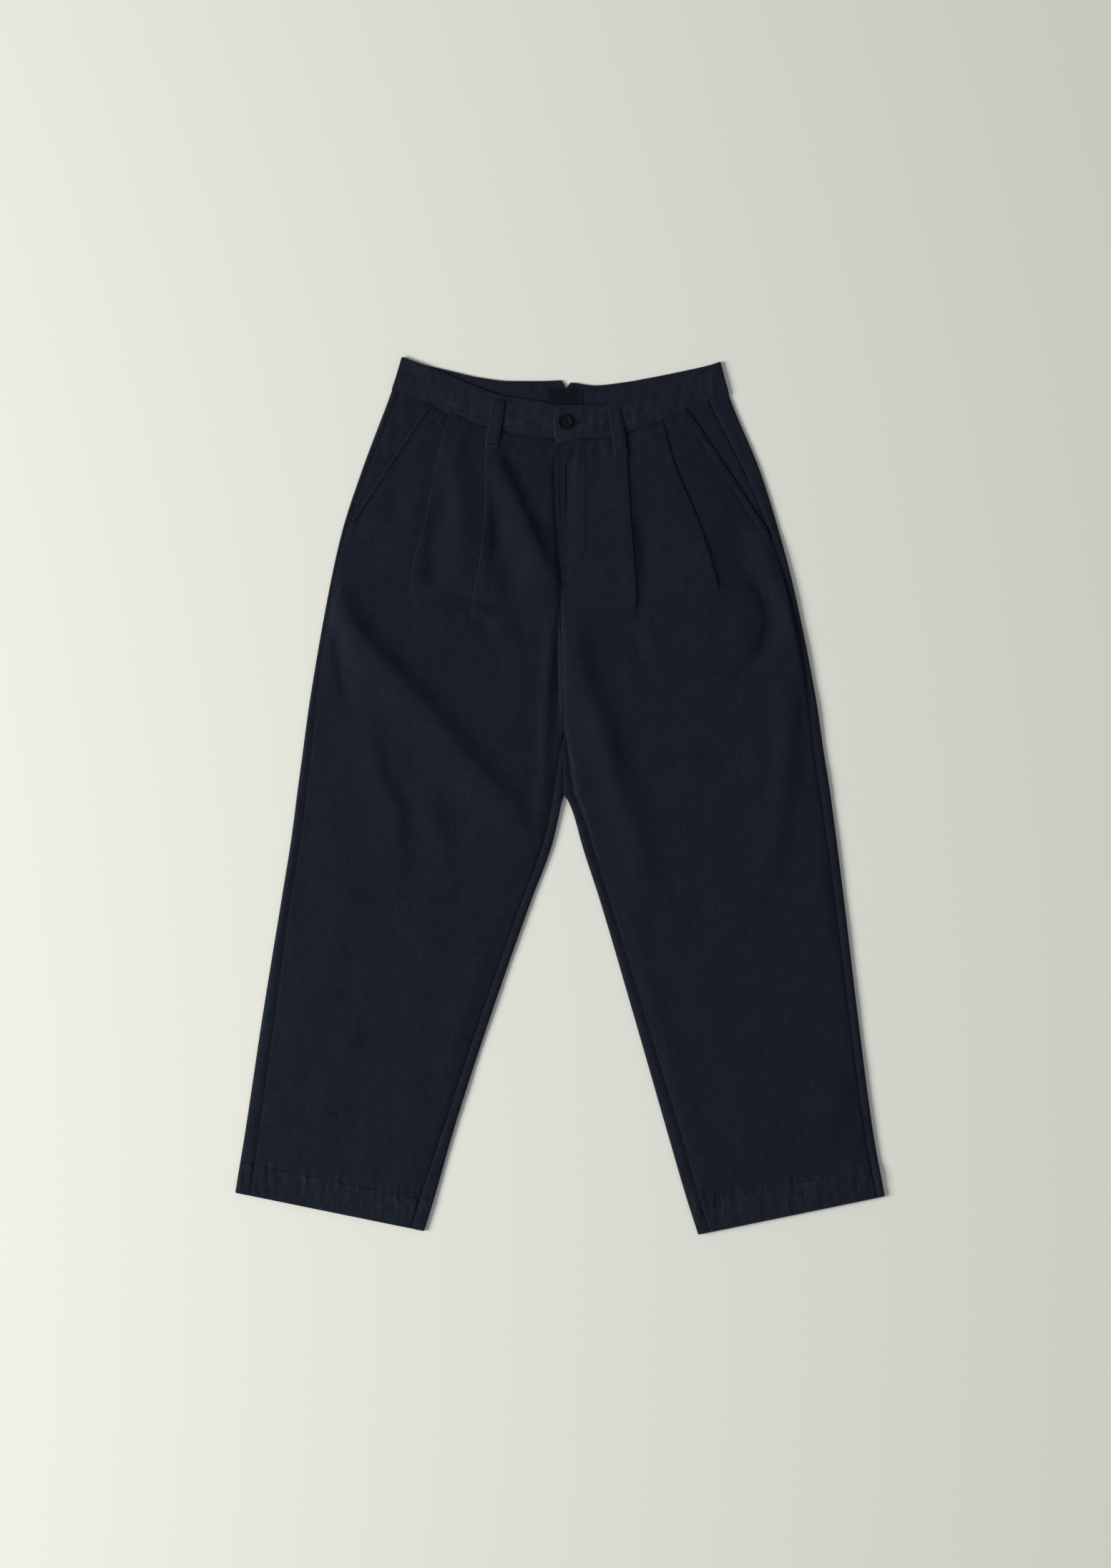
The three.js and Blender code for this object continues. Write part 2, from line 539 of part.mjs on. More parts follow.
// Half of the waistband: one strip from the centre front, round the side fold, to the centre back.
function waistband(leg) {
  const { band } = leg;
  const shape = legShape(leg);
  const [frontTop, backTop] = [column(band.frontTop, 'out', 'y'), column(band.backTop, 'out', 'y')];
  const [frontSeam, backSeam] = [legRow(leg, shape, 0, false), legRow(leg, shape, 0, true)];
  const frontEnd = column(band.frontEnd, 'q', 'out');
  const notchQ = 0.17;
  const centre = leg.side * CENTRE + GAP / 2;
  const backEnd = (q) => (q < notchQ
    ? mix(band.backEndTop, band.notch, q / notchQ)
    : mix(band.notch, centre, (q - notchQ) / (1 - notchQ)));
  const grid = [0, 0.06, notchQ, 0.5, 0.83, 0.94, 1].map((q) => {
    const foldOut = mix(band.foldTop.out, frontSeam.outer, q);
    const turn = turnSection(foldOut, BAND_FRONT, BAND_BACK, BAND_WALL, 1);
    const point = (out, z, top, seam) => (
      new THREE.Vector3(leg.side * out, mix(top(out), seam.yAt(out), q), z)
    );
    const lift = (out) => band.lapRise * smooth((BAND_LAP.from - out) / BAND_LAP.over);
    const front = between(frontEnd(q), turn[0].out, 15).slice(0, -1);
    const back = between(turn[4].out, backEnd(q), 14).slice(1);
    return [
      ...front.map((out) => point(out, BAND_FRONT + lift(out), frontTop, frontSeam)),
      ...turn.slice(0, 3).map(({ out, z }) => point(out, z, frontTop, frontSeam)),
      ...turn.slice(3).map(({ out, z }) => point(out, z, backTop, backSeam)),
      ...back.map((out) => point(out, BAND_BACK, backTop, backSeam)),
    ];
  });
  const isEdge = (r) => r === 0 || r === grid.length - 1;
  return clothSolid(nameOf('waistband', leg), NAVY, grid, (r) => (isEdge(r) ? BAND_EDGE_WALL : BAND_WALL));
}

// A belt loop: a narrow strip fixed at its head on the band and at its foot on the pleat below.
function beltLoop(leg) {
  const { x, y } = leg.loop;
  const along = new THREE.Vector2(x[1] - x[0], y[1] - y[0]).normalize();
  const profile = [
    { t: 0, under: LOOP.seat }, { t: 0.12, under: LOOP.seat }, { t: 0.35, under: LOOP.over },
    { t: 0.7, under: LOOP.over }, { t: 0.88, under: LOOP.foot }, { t: 1, under: LOOP.foot },
  ];
  const under = column(profile, 't', 'under');
  const grid = steps(12).map((t) => between(-LOOP.width / 2, LOOP.width / 2, 4).map((across) => (
    new THREE.Vector3(
      mix(x[0], x[1], t) - along.y * across,
      mix(y[0], y[1], t) + along.x * across,
      under(t) + LOOP.wall / 2,
    ))));
  const wall = (r, c) => (c === 0 || c === 4 ? LOOP.wall * 0.7 : LOOP.wall);
  return clothSolid(nameOf('belt_loop', leg), NAVY, grid, wall);
}

function solidOf(geometry) {
  const plain = geometry.clone();
  plain.deleteAttribute('normal');
  plain.deleteAttribute('uv');
  const merged = mergeVertices(plain, 1e-4);
  return new wasm.Manifold(new wasm.Mesh({
    numProp: 3,
    vertProperties: merged.attributes.position.array,
    triVerts: Uint32Array.from(merged.index.array),
  }));
}

function geometryOf(solid) {
  const { vertProperties, triVerts } = solid.getMesh();
  const geometry = new THREE.BufferGeometry();
  geometry.setAttribute('position', new THREE.BufferAttribute(vertProperties, 3));
  geometry.setIndex(new THREE.BufferAttribute(triVerts, 1));
  geometry.computeVertexNormals();
  return geometry;
}

// The waist button: a turned disc with a raised rim and four holes.
function waistButton() {
  const { radius, thickness, rim, dish } = BUTTON;
  const profile = [
    [0, 0], [radius - 1.2, 0], [radius - 0.3, 0.4], [radius, 1.2], [radius - 0.3, thickness - 0.3],
    [radius - 0.8, thickness], [radius - rim, thickness - 0.25], [radius - rim - 1, thickness - dish],
    [0, thickness - dish],
  ].map(([r, z]) => new THREE.Vector2(r, z));
  let disc = solidOf(new THREE.LatheGeometry(profile, 28).rotateX(Math.PI / 2));
  for (const quarter of steps(4).slice(0, 4)) {
    const angle = 2 * Math.PI * quarter + Math.PI / 4;
    const hole = new THREE.CylinderGeometry(BUTTON.hole, BUTTON.hole, 3 * thickness, 10).rotateX(Math.PI / 2);
    hole.translate(BUTTON.holeAt * Math.cos(angle), BUTTON.holeAt * Math.sin(angle), 0);
    disc = disc.subtract(solidOf(hole));
  }
  const mesh = new THREE.Mesh(geometryOf(disc), NAVY_BUTTON);
  mesh.name = 'waist_button';
  mesh.position.set(BUTTON.x, BUTTON.y, BAND_FRONT + LEFT_LEG.band.lapRise + BAND_WALL / 2 + GAP);
  return mesh;
}

// The woven label inside the back of the waistband, left bare.
function waistLabel() {
  const { x, y, width, height, wall } = LABEL;
  const grid = between(y + height / 2, y - height / 2, 2).map((atY) => (
    between(x - width / 2, x + width / 2, 6).map((atX) => (
      new THREE.Vector3(atX, atY, BAND_WALL + GAP + wall / 2)
    ))));
  return clothSolid('waist_label', LABEL_CLOTH, grid, () => wall);
}

const trousers = new THREE.Group();
for (const leg of [RIGHT_LEG, LEFT_LEG]) {
  trousers.add(frontPanel(leg), backPanel(leg), pocketFacing(leg), waistband(leg), beltLoop(leg));
}
trousers.add(waistButton(), waistLabel());

export default trousers;
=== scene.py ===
"""Wide-leg pleated trousers, laid flat on their back: the finish of every piece.

Sizes are millimetres in the frame's axes: +X is the wearer's left, +Y the waist and +Z up out of
the front. Meshes are made in metres. "Out" is the distance from X = 0 towards a side seam, so
both legs share the same functions and differ only in their tables.
"""
import math

import bpy
import numpy as np
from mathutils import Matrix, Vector
from mathutils.bvhtree import BVHTree


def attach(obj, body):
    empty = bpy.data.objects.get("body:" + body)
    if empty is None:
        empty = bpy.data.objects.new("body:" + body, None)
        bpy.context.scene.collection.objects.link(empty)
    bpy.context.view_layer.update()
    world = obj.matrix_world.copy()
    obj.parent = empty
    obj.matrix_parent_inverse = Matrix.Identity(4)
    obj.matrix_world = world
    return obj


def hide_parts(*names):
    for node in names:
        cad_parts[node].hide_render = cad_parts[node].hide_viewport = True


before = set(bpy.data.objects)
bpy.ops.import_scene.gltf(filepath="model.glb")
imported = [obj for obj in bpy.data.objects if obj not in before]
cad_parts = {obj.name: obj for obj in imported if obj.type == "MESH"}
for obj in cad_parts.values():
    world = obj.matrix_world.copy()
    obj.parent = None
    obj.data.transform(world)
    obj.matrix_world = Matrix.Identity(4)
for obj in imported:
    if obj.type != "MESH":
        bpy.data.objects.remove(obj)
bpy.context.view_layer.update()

MM = 0.001             # metres in a millimetre
CLOTH = 0.75           # thickness of the twill
BAND_CLOTH = 1.9       # of the waistband, with its interlining
LOOP_CLOTH = 1.1       # of a belt loop
GAP = 0.3              # between neighbouring pieces
SEED = 7               # for everything uneven

# Middle heights
UNDER = CLOTH / 2      # the underside, which rests flat
TOP = 3.5              # a front at its seams
LOWEST_FRONT = 2.1     # and as low as it goes, over the back
FACING_LEVEL = 2.7     # a pocket facing
BAND_BACK = 0.95       # the waistband's back
BAND_FRONT = 3.8       # and its front
BAND_SETTLE = 0.7      # by how much the band's front sinks towards its side folds

CENTRE = 4             # X of the centre seams
CROTCH_Y = 1           # where the legs part
CROSS_Y = 72           # where the inseams meet the front seam
PARTED_Y = CROTCH_Y + 1    # a row above this isn't parted yet
ROW_STEP = 3.0         # spacing of the rows of a leg's mesh
WAIST_REACH = 0.3      # share of the length over which the waist's curve fades
LAP_REACH = 0.05       # and over which the left front's drop at the lapped end fades
LAP_OUT = 26           # where that drop ends
LAP_WIDTH = 28         # and its width
CROWN = 2.2            # by how much the loose cloth of the thighs stands up
HEM_DEPTH = 35         # turned-up hem
HEM_LIFT = 0.55        # extra height of the doubled cloth there
HEM_STITCHES = HEM_DEPTH - 1   # its stitching, above the hem's edge
BAND_DEPTH = 38.0      # of the waistband
FACING_REACH = 12      # how far a pocket facing runs under the front
ABOVE_ALL = 50         # from where stitches are laid down on the cloth

# The right front runs under the left one, that far as low as end_y and not at all from closed_y
FLY = dict(end_y=238, closed_y=196, under=12.3, dip=0.8)
LABEL = dict(x=(-16.8, 25.2), y=(456.2, 431), level=2.35, wall=0.35)
BUTTON = dict(x=5.9, y=417.6, seat=7.5, holes=1.27, hole=0.8)
BUTTONHOLE = dict(x=(2, 20.5), y=417.6, half=1.25)
LOOP = dict(half=7.2, stitches=4.6, tack=5.6)    # across a belt loop, from its middle

MOUTH_STITCHES = (1.9, 8.6)    # two lines beside a pocket mouth
BAND_STITCHES = (2.2, 6.8)     # and above the waist seam
END_STITCH = 3.0               # one beside the lapped end of the band
LABEL_STITCH = 1.4             # and one inside each end of the label
END_SEAM_Y = (433, 399)        # from where to where the line beside the lapped end runs
FLY_SEAM_Y = (394, 240.5)      # and the one that holds the fly's facing
LABEL_SEAM_END = 437.5         # and how far down the label's lines go


def table(names, *rows):
    """Rows of numbers as named columns."""
    return {name: np.array(values, float) for name, values in zip(names.split(), zip(*rows))}


def crease(left, right, *line):
    """A line of (x, y, rise), drawn downwards, and how far it reaches to its left, towards +X,
    and to its right. A rise below zero makes a hollow."""
    return dict(left=left, right=right, line=line)


# X of the edge of the left front: along the fly, and then along the centre seam
FLY_EDGE = table(
    "y x", (400, -5.5), (358, -5.9), (305, -4.6), (269, -3.1), (246, -0.8), (236, 0.4), (202, 0.9),
    (150, 1.8), (72, 3.8))

# X of the curved stitching that holds the fly's facing
FLY_STITCHING = table(
    "y x", (400, 28.6), (284, 28.6), (272, 27), (264, 22.5), (256.4, 17.4), (249, 15), (241.6, 12.7),
    (236, 11))

# Each leg: laps is 1 where it laps over the other one, pleat_lift says how far its pleats stand up
# and pleat_wear how pale their folded edges are, rubbed and with a painted highlight
# where they face the light, tuck and crotch_dip how its inseam goes under the other one,
# and band_pull how uneven its waistband is.
RIGHT = dict(
    name="right",
    side=-1,
    laps=0,
    pleat_lift=1,
    # Its pleats face the light: paler folded edges, rubbed and with a painted highlight
    pleat_wear=0.45,
    tuck=1.2,
    crotch_dip=1.5,
    band_pull=0.75,
    waist=dict(outer_y=454, front_y=399, back_y=427, back_sag=0.95, lap_drop=0),
    hem=dict(outer_y=-443, inner_y=-486),
    drop=table("f drop", (0, 0), (0.16, 3), (0.4, 9.8), (0.67, 10.6), (0.84, 5.8), (1, 0)),
    outline=table(
        "y outer side_seam inner inseam",
        (492, 175, 9, -4, 1), (454, 187.8, 9, -4, 1), (362, 222.2, 6.4, -4, 1),
        (298, 243, 3.6, -4, 1), (234, 257.4, 3.2, -4, 1), (106, 279.8, 7, -4, 1),
        (72, 284.6, 8.4, -4, 1), (46, 288, 9.4, -4, 5), (2, 294, 10.4, -4.6, 11.6),
        (-6, 295, 10.4, -2.2, 10.6), (-22, 297, 10.4, 1.2, 10), (-54, 301.4, 10.2, 8.8, 10),
        (-118, 311.8, 10, 32.6, 10),
        (-246, 332.6, 13.4, 77.6, 10.6), (-374, 351.8, 15.2, 119, 11.6),
        (-443, 363, 16.6, 138.6, 15), (-490, 370, 17, 153, 15),
    ),
    mouth=dict(top_y=438.4, top_out=152.6, end_y=304, end_out=240.6),
    pleats=[
        dict(end_y=231, depth=16, edge=table(
            "y out", (426, 123.8), (369, 138.2), (307, 150.2), (246, 165.7), (231, 167.5),
            (0, 200), (-470, 293))),
        dict(end_y=200, depth=14, edge=table(
            "y out", (410, 81.5), (389, 82.5), (322, 83), (262, 89.4), (231, 95), (200, 99),
            (0, 124), (-470, 230))),
    ],
    band=dict(
        fold_top=(176.4, 491),
        front_end=table("q out", (0, -18), (1, -18)),
        front_top=table(
            "out y", (-20, 436.4), (3, 436.8), (18, 440.4), (48.6, 444.8), (69, 448.8),
            (99.4, 460), (144.6, 479.2), (176.4, 491)),
        back_top=table(
            "out y", (-4, 465), (26.2, 464), (58.2, 464.2), (90.2, 468), (122.2, 475.2),
            (154.2, 483.2), (176.4, 491)),
        back_end_top=-1.4,
        notch=-5.85,
        lap_rise=0,
    ),
    side_rise=table("y rise", (300, 0), (220, 0.9), (120, 0.5), (0, 0)),
    loop=dict(x=(-68.2, -76), y=(442.9, 390)),
)

LEFT = dict(
    name="left",
    side=1,
    laps=1,
    pleat_lift=0.65,
    # Its pleats face away from the light: little painted highlight on their edges
    pleat_wear=0.1,
    tuck=0,
    crotch_dip=-0.3,
    band_pull=0.85,
    waist=dict(outer_y=448.5, front_y=398.5, back_y=424, back_sag=0.7, lap_drop=4.6),
    hem=dict(outer_y=-447, inner_y=-490),
    drop=table("f drop", (0, 0), (0.236, 3.8), (0.457, 9.6), (0.7, 11.4), (0.87, 5.6), (1, 0)),
    outline=table(
        "y outer side_seam inner inseam",
        (486, 178, 26, 4, 1), (448, 189, 25, 4, 1), (362, 224.2, 18, 4, 1),
        (298, 244.2, 12, 4, 1), (234, 261, 8.4, 4, 1), (106, 286.6, 10, 4, 1),
        (72, 291.6, 11, 4, 1), (46, 295.4, 11.4, 4, 5), (2, 302.4, 11.6, 5, 10),
        (-6, 303.4, 11.5, 9.4, 9.4), (-22, 305.6, 11.4, 15.6, 9.4), (-54, 309.8, 11, 24.4, 10.4),
        (-118, 317.8, 10.4, 45, 10.4),
        (-246, 333, 10, 82.6, 11.6), (-374, 349.8, 9.6, 119.4, 13.4),
        (-447, 363, 9.4, 140.6, 13.4), (-492, 371, 9.4, 155, 13.4),
    ),
    mouth=dict(top_y=431, top_out=143.4, end_y=298, end_out=231.5),
    pleats=[
        dict(end_y=229, depth=16, edge=table(
            "y out", (424, 111.5), (413, 115.9), (378, 125), (302, 155.8), (229, 177), (0, 212),
            (-470, 294))),
        dict(end_y=209, depth=14, edge=table(
            "y out", (405, 73.8), (384, 74.6), (322, 77.8), (246, 83.8), (209, 85.5), (0, 118),
            (-470, 232))),
    ],
    band=dict(
        fold_top=(178.8, 485.6),
        front_end=table("q out", (0, -3), (0.4, -6.5), (0.75, -6), (1, -3.4)),
        front_top=table(
            "out y", (-8, 435.4), (0, 436), (53, 438), (68.2, 441.1), (93.8, 448.6),
            (134.6, 467.6), (165, 480.6), (178.8, 485.6)),
        back_top=table(
            "out y", (4, 461), (11.6, 462.3), (37.8, 459.2), (69.8, 462.4), (101.8, 468),
            (133.8, 474.4), (165.8, 481.6), (178.8, 485.6)),
        back_end_top=11.6,
        notch=6.15,
        lap_rise=2.5,
    ),
    side_rise=table("y rise", (310, 0), (250, 2), (200, 3.4), (150, 3), (100, 1.6), (40, 0.4), (0, 0)),
    loop=dict(x=(60.8, 68.8), y=(433.6, 379.4)),
)

# Creases of the fronts
CREASES = {
    "right": [
        crease(15, 30, (-254, 243, 1), (-240, 205, 6.2), (-221, 172, 7.8), (-197, 147, 7.6),
            (-168, 117, 7), (-138, 85, 6.3), (-95, 33, 6.2), (-58, -10, 5.4), (-36, -44, 1.5)),
        crease(10, 8, (-254, 215, 0), (-250, 180, -2.6), (-242, 130, -2.6), (-231, 80, 0)),
        crease(10, 15, (-213, 104, 0), (-207, 50, 2.8), (-199, 15, 3), (-183, -15, 2.6),
            (-180, -60, 1.2), (-184, -110, 0)),
        crease(12, 15, (-146, 22, 0), (-142, -20, 2), (-131, -60, 1.6), (-120, -110, 0)),
        crease(8, 7, (-6, 215, 0), (-9, 185, 2), (-12, 150, 2.9), (-15, 115, 2.9), (-17, 60, 2.2),
            (-19, 0, 1.8), (-27, -40, 0.4)),
        crease(6, 16, (-10, 388, 0), (-11, 362, 0.8), (-10, 306, 1), (-7, 256, 1.2), (-6, 228, 1.7),
            (-7, 195, 1.8), (-8, 150, 0.9), (-9, 110, 0)),
        crease(3, 3, (1, 168, 0), (0, 128, -1.4), (-1, 98, 0)),
        crease(9, 21, (-80, 394, 0), (-70, 372, 4), (-56, 345, 6), (-43, 315, 6.4), (-30, 287, 6),
            (-19, 262, 4.4), (-10, 244, 1.6), (-4, 226, 0)),
        crease(24, 13, (-118, 404, 0.5), (-113, 350, 4), (-108, 300, 3.6), (-106, 236, 0)),
        crease(12, 7, (-130, 338, 0), (-141, 290, -2.2), (-143, 252, -2), (-133, 234, 0)),
        crease(13, 7, (-75, 358, 0), (-71, 310, -2.6), (-73, 275, -2), (-80, 240, 0)),
        crease(15, 15, (-66, 304, 0), (-59, 278, -2.2), (-55, 250, -3.4), (-54, 222, -2.6),
            (-53, 198, 0)),
        crease(9, 10, (-86, 208, 0), (-82, 190, -1.8), (-76, 168, 0)),
        crease(5, 6, (-44, 208, 0), (-43, 185, -1), (-40, 160, 0)),
        crease(9, 8, (-186, 350, 0), (-184, 328, -1.6), (-182, 304, 0)),
        crease(12, 10, (-206, 296, 0), (-209, 268, -1.8), (-213, 236, 0)),
        crease(12, 8, (-166, 232, 0), (-150, 212, 0.9), (-110, 205, 1.1), (-98, 190, 0)),
        crease(14, 14, (-258, -80, 0), (-282, -120, -1), (-290, -170, 0)),
        crease(18, 24, (-262, -30, 0), (-238, -110, 1.6), (-268, -220, 1.2), (-292, -330, 0)),
        crease(16, 14, (-166, -100, 0), (-148, -170, 1.1), (-158, -240, 0)),
        crease(9, 16, (-226, -230, 0), (-234, -280, 1.3), (-244, -330, 0)),
        crease(20, 22, (-252, -290, 0), (-268, -350, 1.6), (-290, -410, 0)),
        crease(22, 18, (-168, -290, 0), (-178, -360, 1.0), (-196, -420, 0)),
        crease(10, 12, (-62, -100, 0.4), (-104, -240, 1), (-150, -400, 0.6)),
    ],
    "left": [
        crease(18, 22, (8, 216, 0), (12, 192, 2.4), (17, 165, 4.4), (24, 138, 5.8), (34, 108, 6.8),
            (43, 84, 7), (50, 56, 7.2), (58, 26, 6.6), (70, -6, 5.4), (82, -37, 4.2),
            (94, -80, 2.6), (100, -130, 0)),
        crease(14, 10, (8, 96, 0), (14, 64, 2.4), (19, 24, 3.6), (25, -10, 3), (38, -60, 0.4)),
        crease(13, 7, (209, 252, 0), (219, 238, -2.2), (231, 215, -3.5), (235, 195, -3.8),
            (229, 173, -3.2), (215, 150, -2.4), (196, 126, -1.8), (172, 104, 0)),
        crease(13, 15, (257, 150, 0), (256, 100, 3.4), (254, 50, 4), (249, 0, 3.4), (243, -45, 2.4),
            (232, -110, 0)),
        crease(10, 12, (236, 310, 0), (231, 280, 1.4), (236, 250, 1.4), (243, 215, 0)),
        crease(16, 7, (86, 318, 0), (92, 290, -1.6), (96, 262, -2.4), (95, 234, -2), (91, 208, 0)),
        crease(14, 24, (184, 318, 0), (200, 288, -2.4), (206, 262, -2.8), (210, 226, 0)),
        crease(6, 22, (72, 400, 0.4), (77, 340, 1), (82, 280, 1.4), (86, 225, 0)),
        crease(7, 24, (124, 385, 0), (149, 320, 0.6), (168, 262, 1.6), (178, 220, 0.6)),
        crease(6, 7, (72, 172, 0), (80, 135, 1.2), (88, 100, 0)),
        crease(6, 8, (78, 212, 0), (92, 203, -1.5), (112, 202, 0)),
        crease(9, 9, (66, 206, 0), (84, 178, -1.4), (94, 148, 0)),
        crease(7, 9, (92, 196, 0), (100, 172, 1.1), (106, 140, 0)),
        crease(8, 9, (160, 190, 0), (184, 197, -1.2), (208, 208, 0)),
        crease(10, 12, (226, 82, 0), (220, 30, 1.4), (204, -22, 0)),
        crease(12, 14, (158, 80, 0), (150, 40, 1.2), (146, -20, 0)),
        crease(4.5, 3.5, (18.6, 397, -1), (15, 384, -1.8), (12, 371, -1.7), (11.6, 355, -1.2),
            (13, 338, 0)),
        crease(8, 5, (4.5, 388, 0), (4.6, 366, -1.4), (4.8, 340, -1.9), (5.4, 310, -1.7),
            (8, 280, -1.2), (11, 250, 0)),
        crease(4, 4, (30, 396, -1.4), (26, 384, -1.2), (22, 372, 0)),
        crease(5, 4, (44, 394, -1.2), (40, 384, -0.8), (38, 374, 0)),
        crease(22, 20, (262, -50, 0), (245, -110, -1.6), (238, -170, 0)),
        crease(16, 20, (292, -30, 0), (296, -110, 1.5), (300, -190, 0)),
        crease(24, 26, (150, -150, 0), (165, -240, 1), (190, -330, 0)),
        crease(14, 22, (304, -290, 0), (312, -340, 2), (290, -392, 1), (268, -430, 0)),
        crease(20, 20, (196, -300, 0), (206, -370, 0.9), (222, -440, 0)),
        crease(12, 10, (68, -100, 0.4), (108, -240, 1), (152, -400, 0.6)),
    ],
}

# And of the waistband, up and down it beside the button and the loops
BAND_CREASES = {
    "right": [
        crease(5, 6, (-40, 441, 0.2), (-41, 422, 0.7), (-40, 404, 0.2)),
        crease(5, 5, (-56, 444, 0.2), (-57, 424, 0.6), (-58, 406, 0.2)),
    ],
    "left": [
        crease(4, 5, (24, 434, 0.2), (25, 416, 0.7), (23, 404, 0.2)),
        crease(4.5, 4, (37, 436, 0.6), (37, 418, 1.3), (35.5, 403, 0.5)),
        crease(4, 4.5, (49, 437, 0.5), (48, 420, 1.1), (47, 404, 0.4)),
        crease(5, 5, (86, 444, 0.2), (84, 428, 0.7), (86, 410, 0.2)),
    ],
}

# The centre seam stands up below the fly: steep on its right, and a long slope on its left
CENTRE_RISE = table(
    "y rise", (222, 0), (196, 2.6), (170, 4.2), (140, 4.6), (112, 3.6), (84, 1.6), (62, 0))
CENTRE_REACH = dict(right=3, left=24)

# Height of a belt loop along it, from the band down to the pleat
LOOP_RISE = table("t z", (0, 5.7), (0.17, 5.9), (0.4, 6.1), (0.65, 6.4), (0.86, 6.9), (1, 7.1))


def mix(a, b, t):
    """From a at t = 0 to b at t = 1."""
    return a + (b - a) * t


def smooth(t):
    """From 0 to 1 with soft ends, as t goes from 0 to 1."""
    t = np.clip(t, 0, 1)
    return t * t * (3 - 2 * t)


def bell(distance, width):
    """1 at no distance, and fading on both sides."""
    return np.exp(-((distance / width) ** 2))


def most(*masks):
    """The highest of several masks at each point."""
    highest = masks[0]
    for mask in masks[1:]:
        highest = np.maximum(highest, mask)
    return highest


def column(rows, key, name):
    """A table's column as a smooth function of its key: a cubic that never overshoots."""
    order = np.argsort(rows[key])
    x, y = rows[key][order], rows[name][order]
    slopes = np.diff(y) / np.diff(x)
    product, total = slopes[:-1] * slopes[1:], slopes[:-1] + slopes[1:]
    inner = np.where(product > 0, 2 * product / np.where(product > 0, total, 1), 0)
    tangents = np.concatenate([slopes[:1], inner, slopes[-1:]])

    def at(value):
        value = np.clip(value, x[0], x[-1])
        i = np.clip(np.searchsorted(x, value) - 1, 0, len(x) - 2)
        span = x[i + 1] - x[i]
        t = (value - x[i]) / span
        ends = y[i] * (1 + 2 * t) * (1 - t) ** 2 + y[i + 1] * t**2 * (3 - 2 * t)
        return ends + span * (tangents[i] * t * (1 - t) ** 2 - tangents[i + 1] * t**2 * (1 - t))

    return at


def uneven(x, y, length, seed):
    """A smooth field, about -1 to 1, with bumps of that length and no direction."""
    random = np.random.default_rng(SEED + seed)
    total = np.zeros(np.broadcast(x, y).shape)
    waves = 9
    for _ in range(waves):
        angle = random.uniform(0, 2 * math.pi)
        pitch = length * random.uniform(0.8, 1.7)
        along = (x * math.cos(angle) + y * math.sin(angle)) / pitch
        total = total + np.sin(2 * math.pi * (along + random.uniform()))
    return total / math.sqrt(2 * waves)


def curve_through(points, count):
    """A smooth line through a few points, as count points."""
    points = np.array(points, float)
    t = np.linspace(0, 1, len(points))
    fine = np.linspace(0, 1, count)
    if len(points) == 2:
        return np.stack([np.interp(fine, t, points[:, k]) for k in range(points.shape[1])], 1)
    padded = np.concatenate([[2 * points[0] - points[1]], points, [2 * points[-1] - points[-2]]])
    at = fine * (len(points) - 1)
    i = np.minimum(at.astype(int), len(points) - 2)
    u = (at - i)[:, None]
    a, b, c, d = (padded[i + k] for k in range(4))
    return 0.5 * (2 * b + (c - a) * u + (2 * a - 5 * b + 4 * c - d) * u**2 + (3 * b - a - 3 * c + d) * u**3)


def beside_line(x, y, line):
    """For each point: how far it lies to the left of a line (to the right is below zero), and
    how far along it, from 0 to 1."""
    nearest = np.full(x.shape, np.inf)
    signed = np.zeros(x.shape)
    along = np.zeros(x.shape)
    for i, (start, end) in enumerate(zip(line[:-1], line[1:])):
        run = end - start
        dx, dy = x - start[0], y - start[1]
        t = np.clip((dx * run[0] + dy * run[1]) / (run @ run), 0, 1)
        distance = np.hypot(dx - t * run[0], dy - t * run[1])
        closer = distance < nearest
        side = np.where(run[0] * dy - run[1] * dx >= 0, 1, -1)
        nearest = np.where(closer, distance, nearest)
        signed = np.where(closer, side * distance, signed)
        along = np.where(closer, (i + t) / (len(line) - 1), along)
    return signed, along


def crease_height(creases, x, y):
    """The height that a table of creases gives at each point."""
    height = np.zeros(x.shape)
    for each in creases:
        line = curve_through(each["line"], 41)
        signed, along = beside_line(x, y, line[:, :2])
        width = np.where(signed > 0, each["left"], each["right"])
        height += np.interp(along, np.linspace(0, 1, len(line)), line[:, 2]) * bell(signed, width)
    return height


def centre_rise(leg, y, from_centre):
    """How far a front stands up beside the centre seam."""
    return column(CENTRE_RISE, "y", "rise")(y) * bell(from_centre, CENTRE_REACH[leg["name"]])


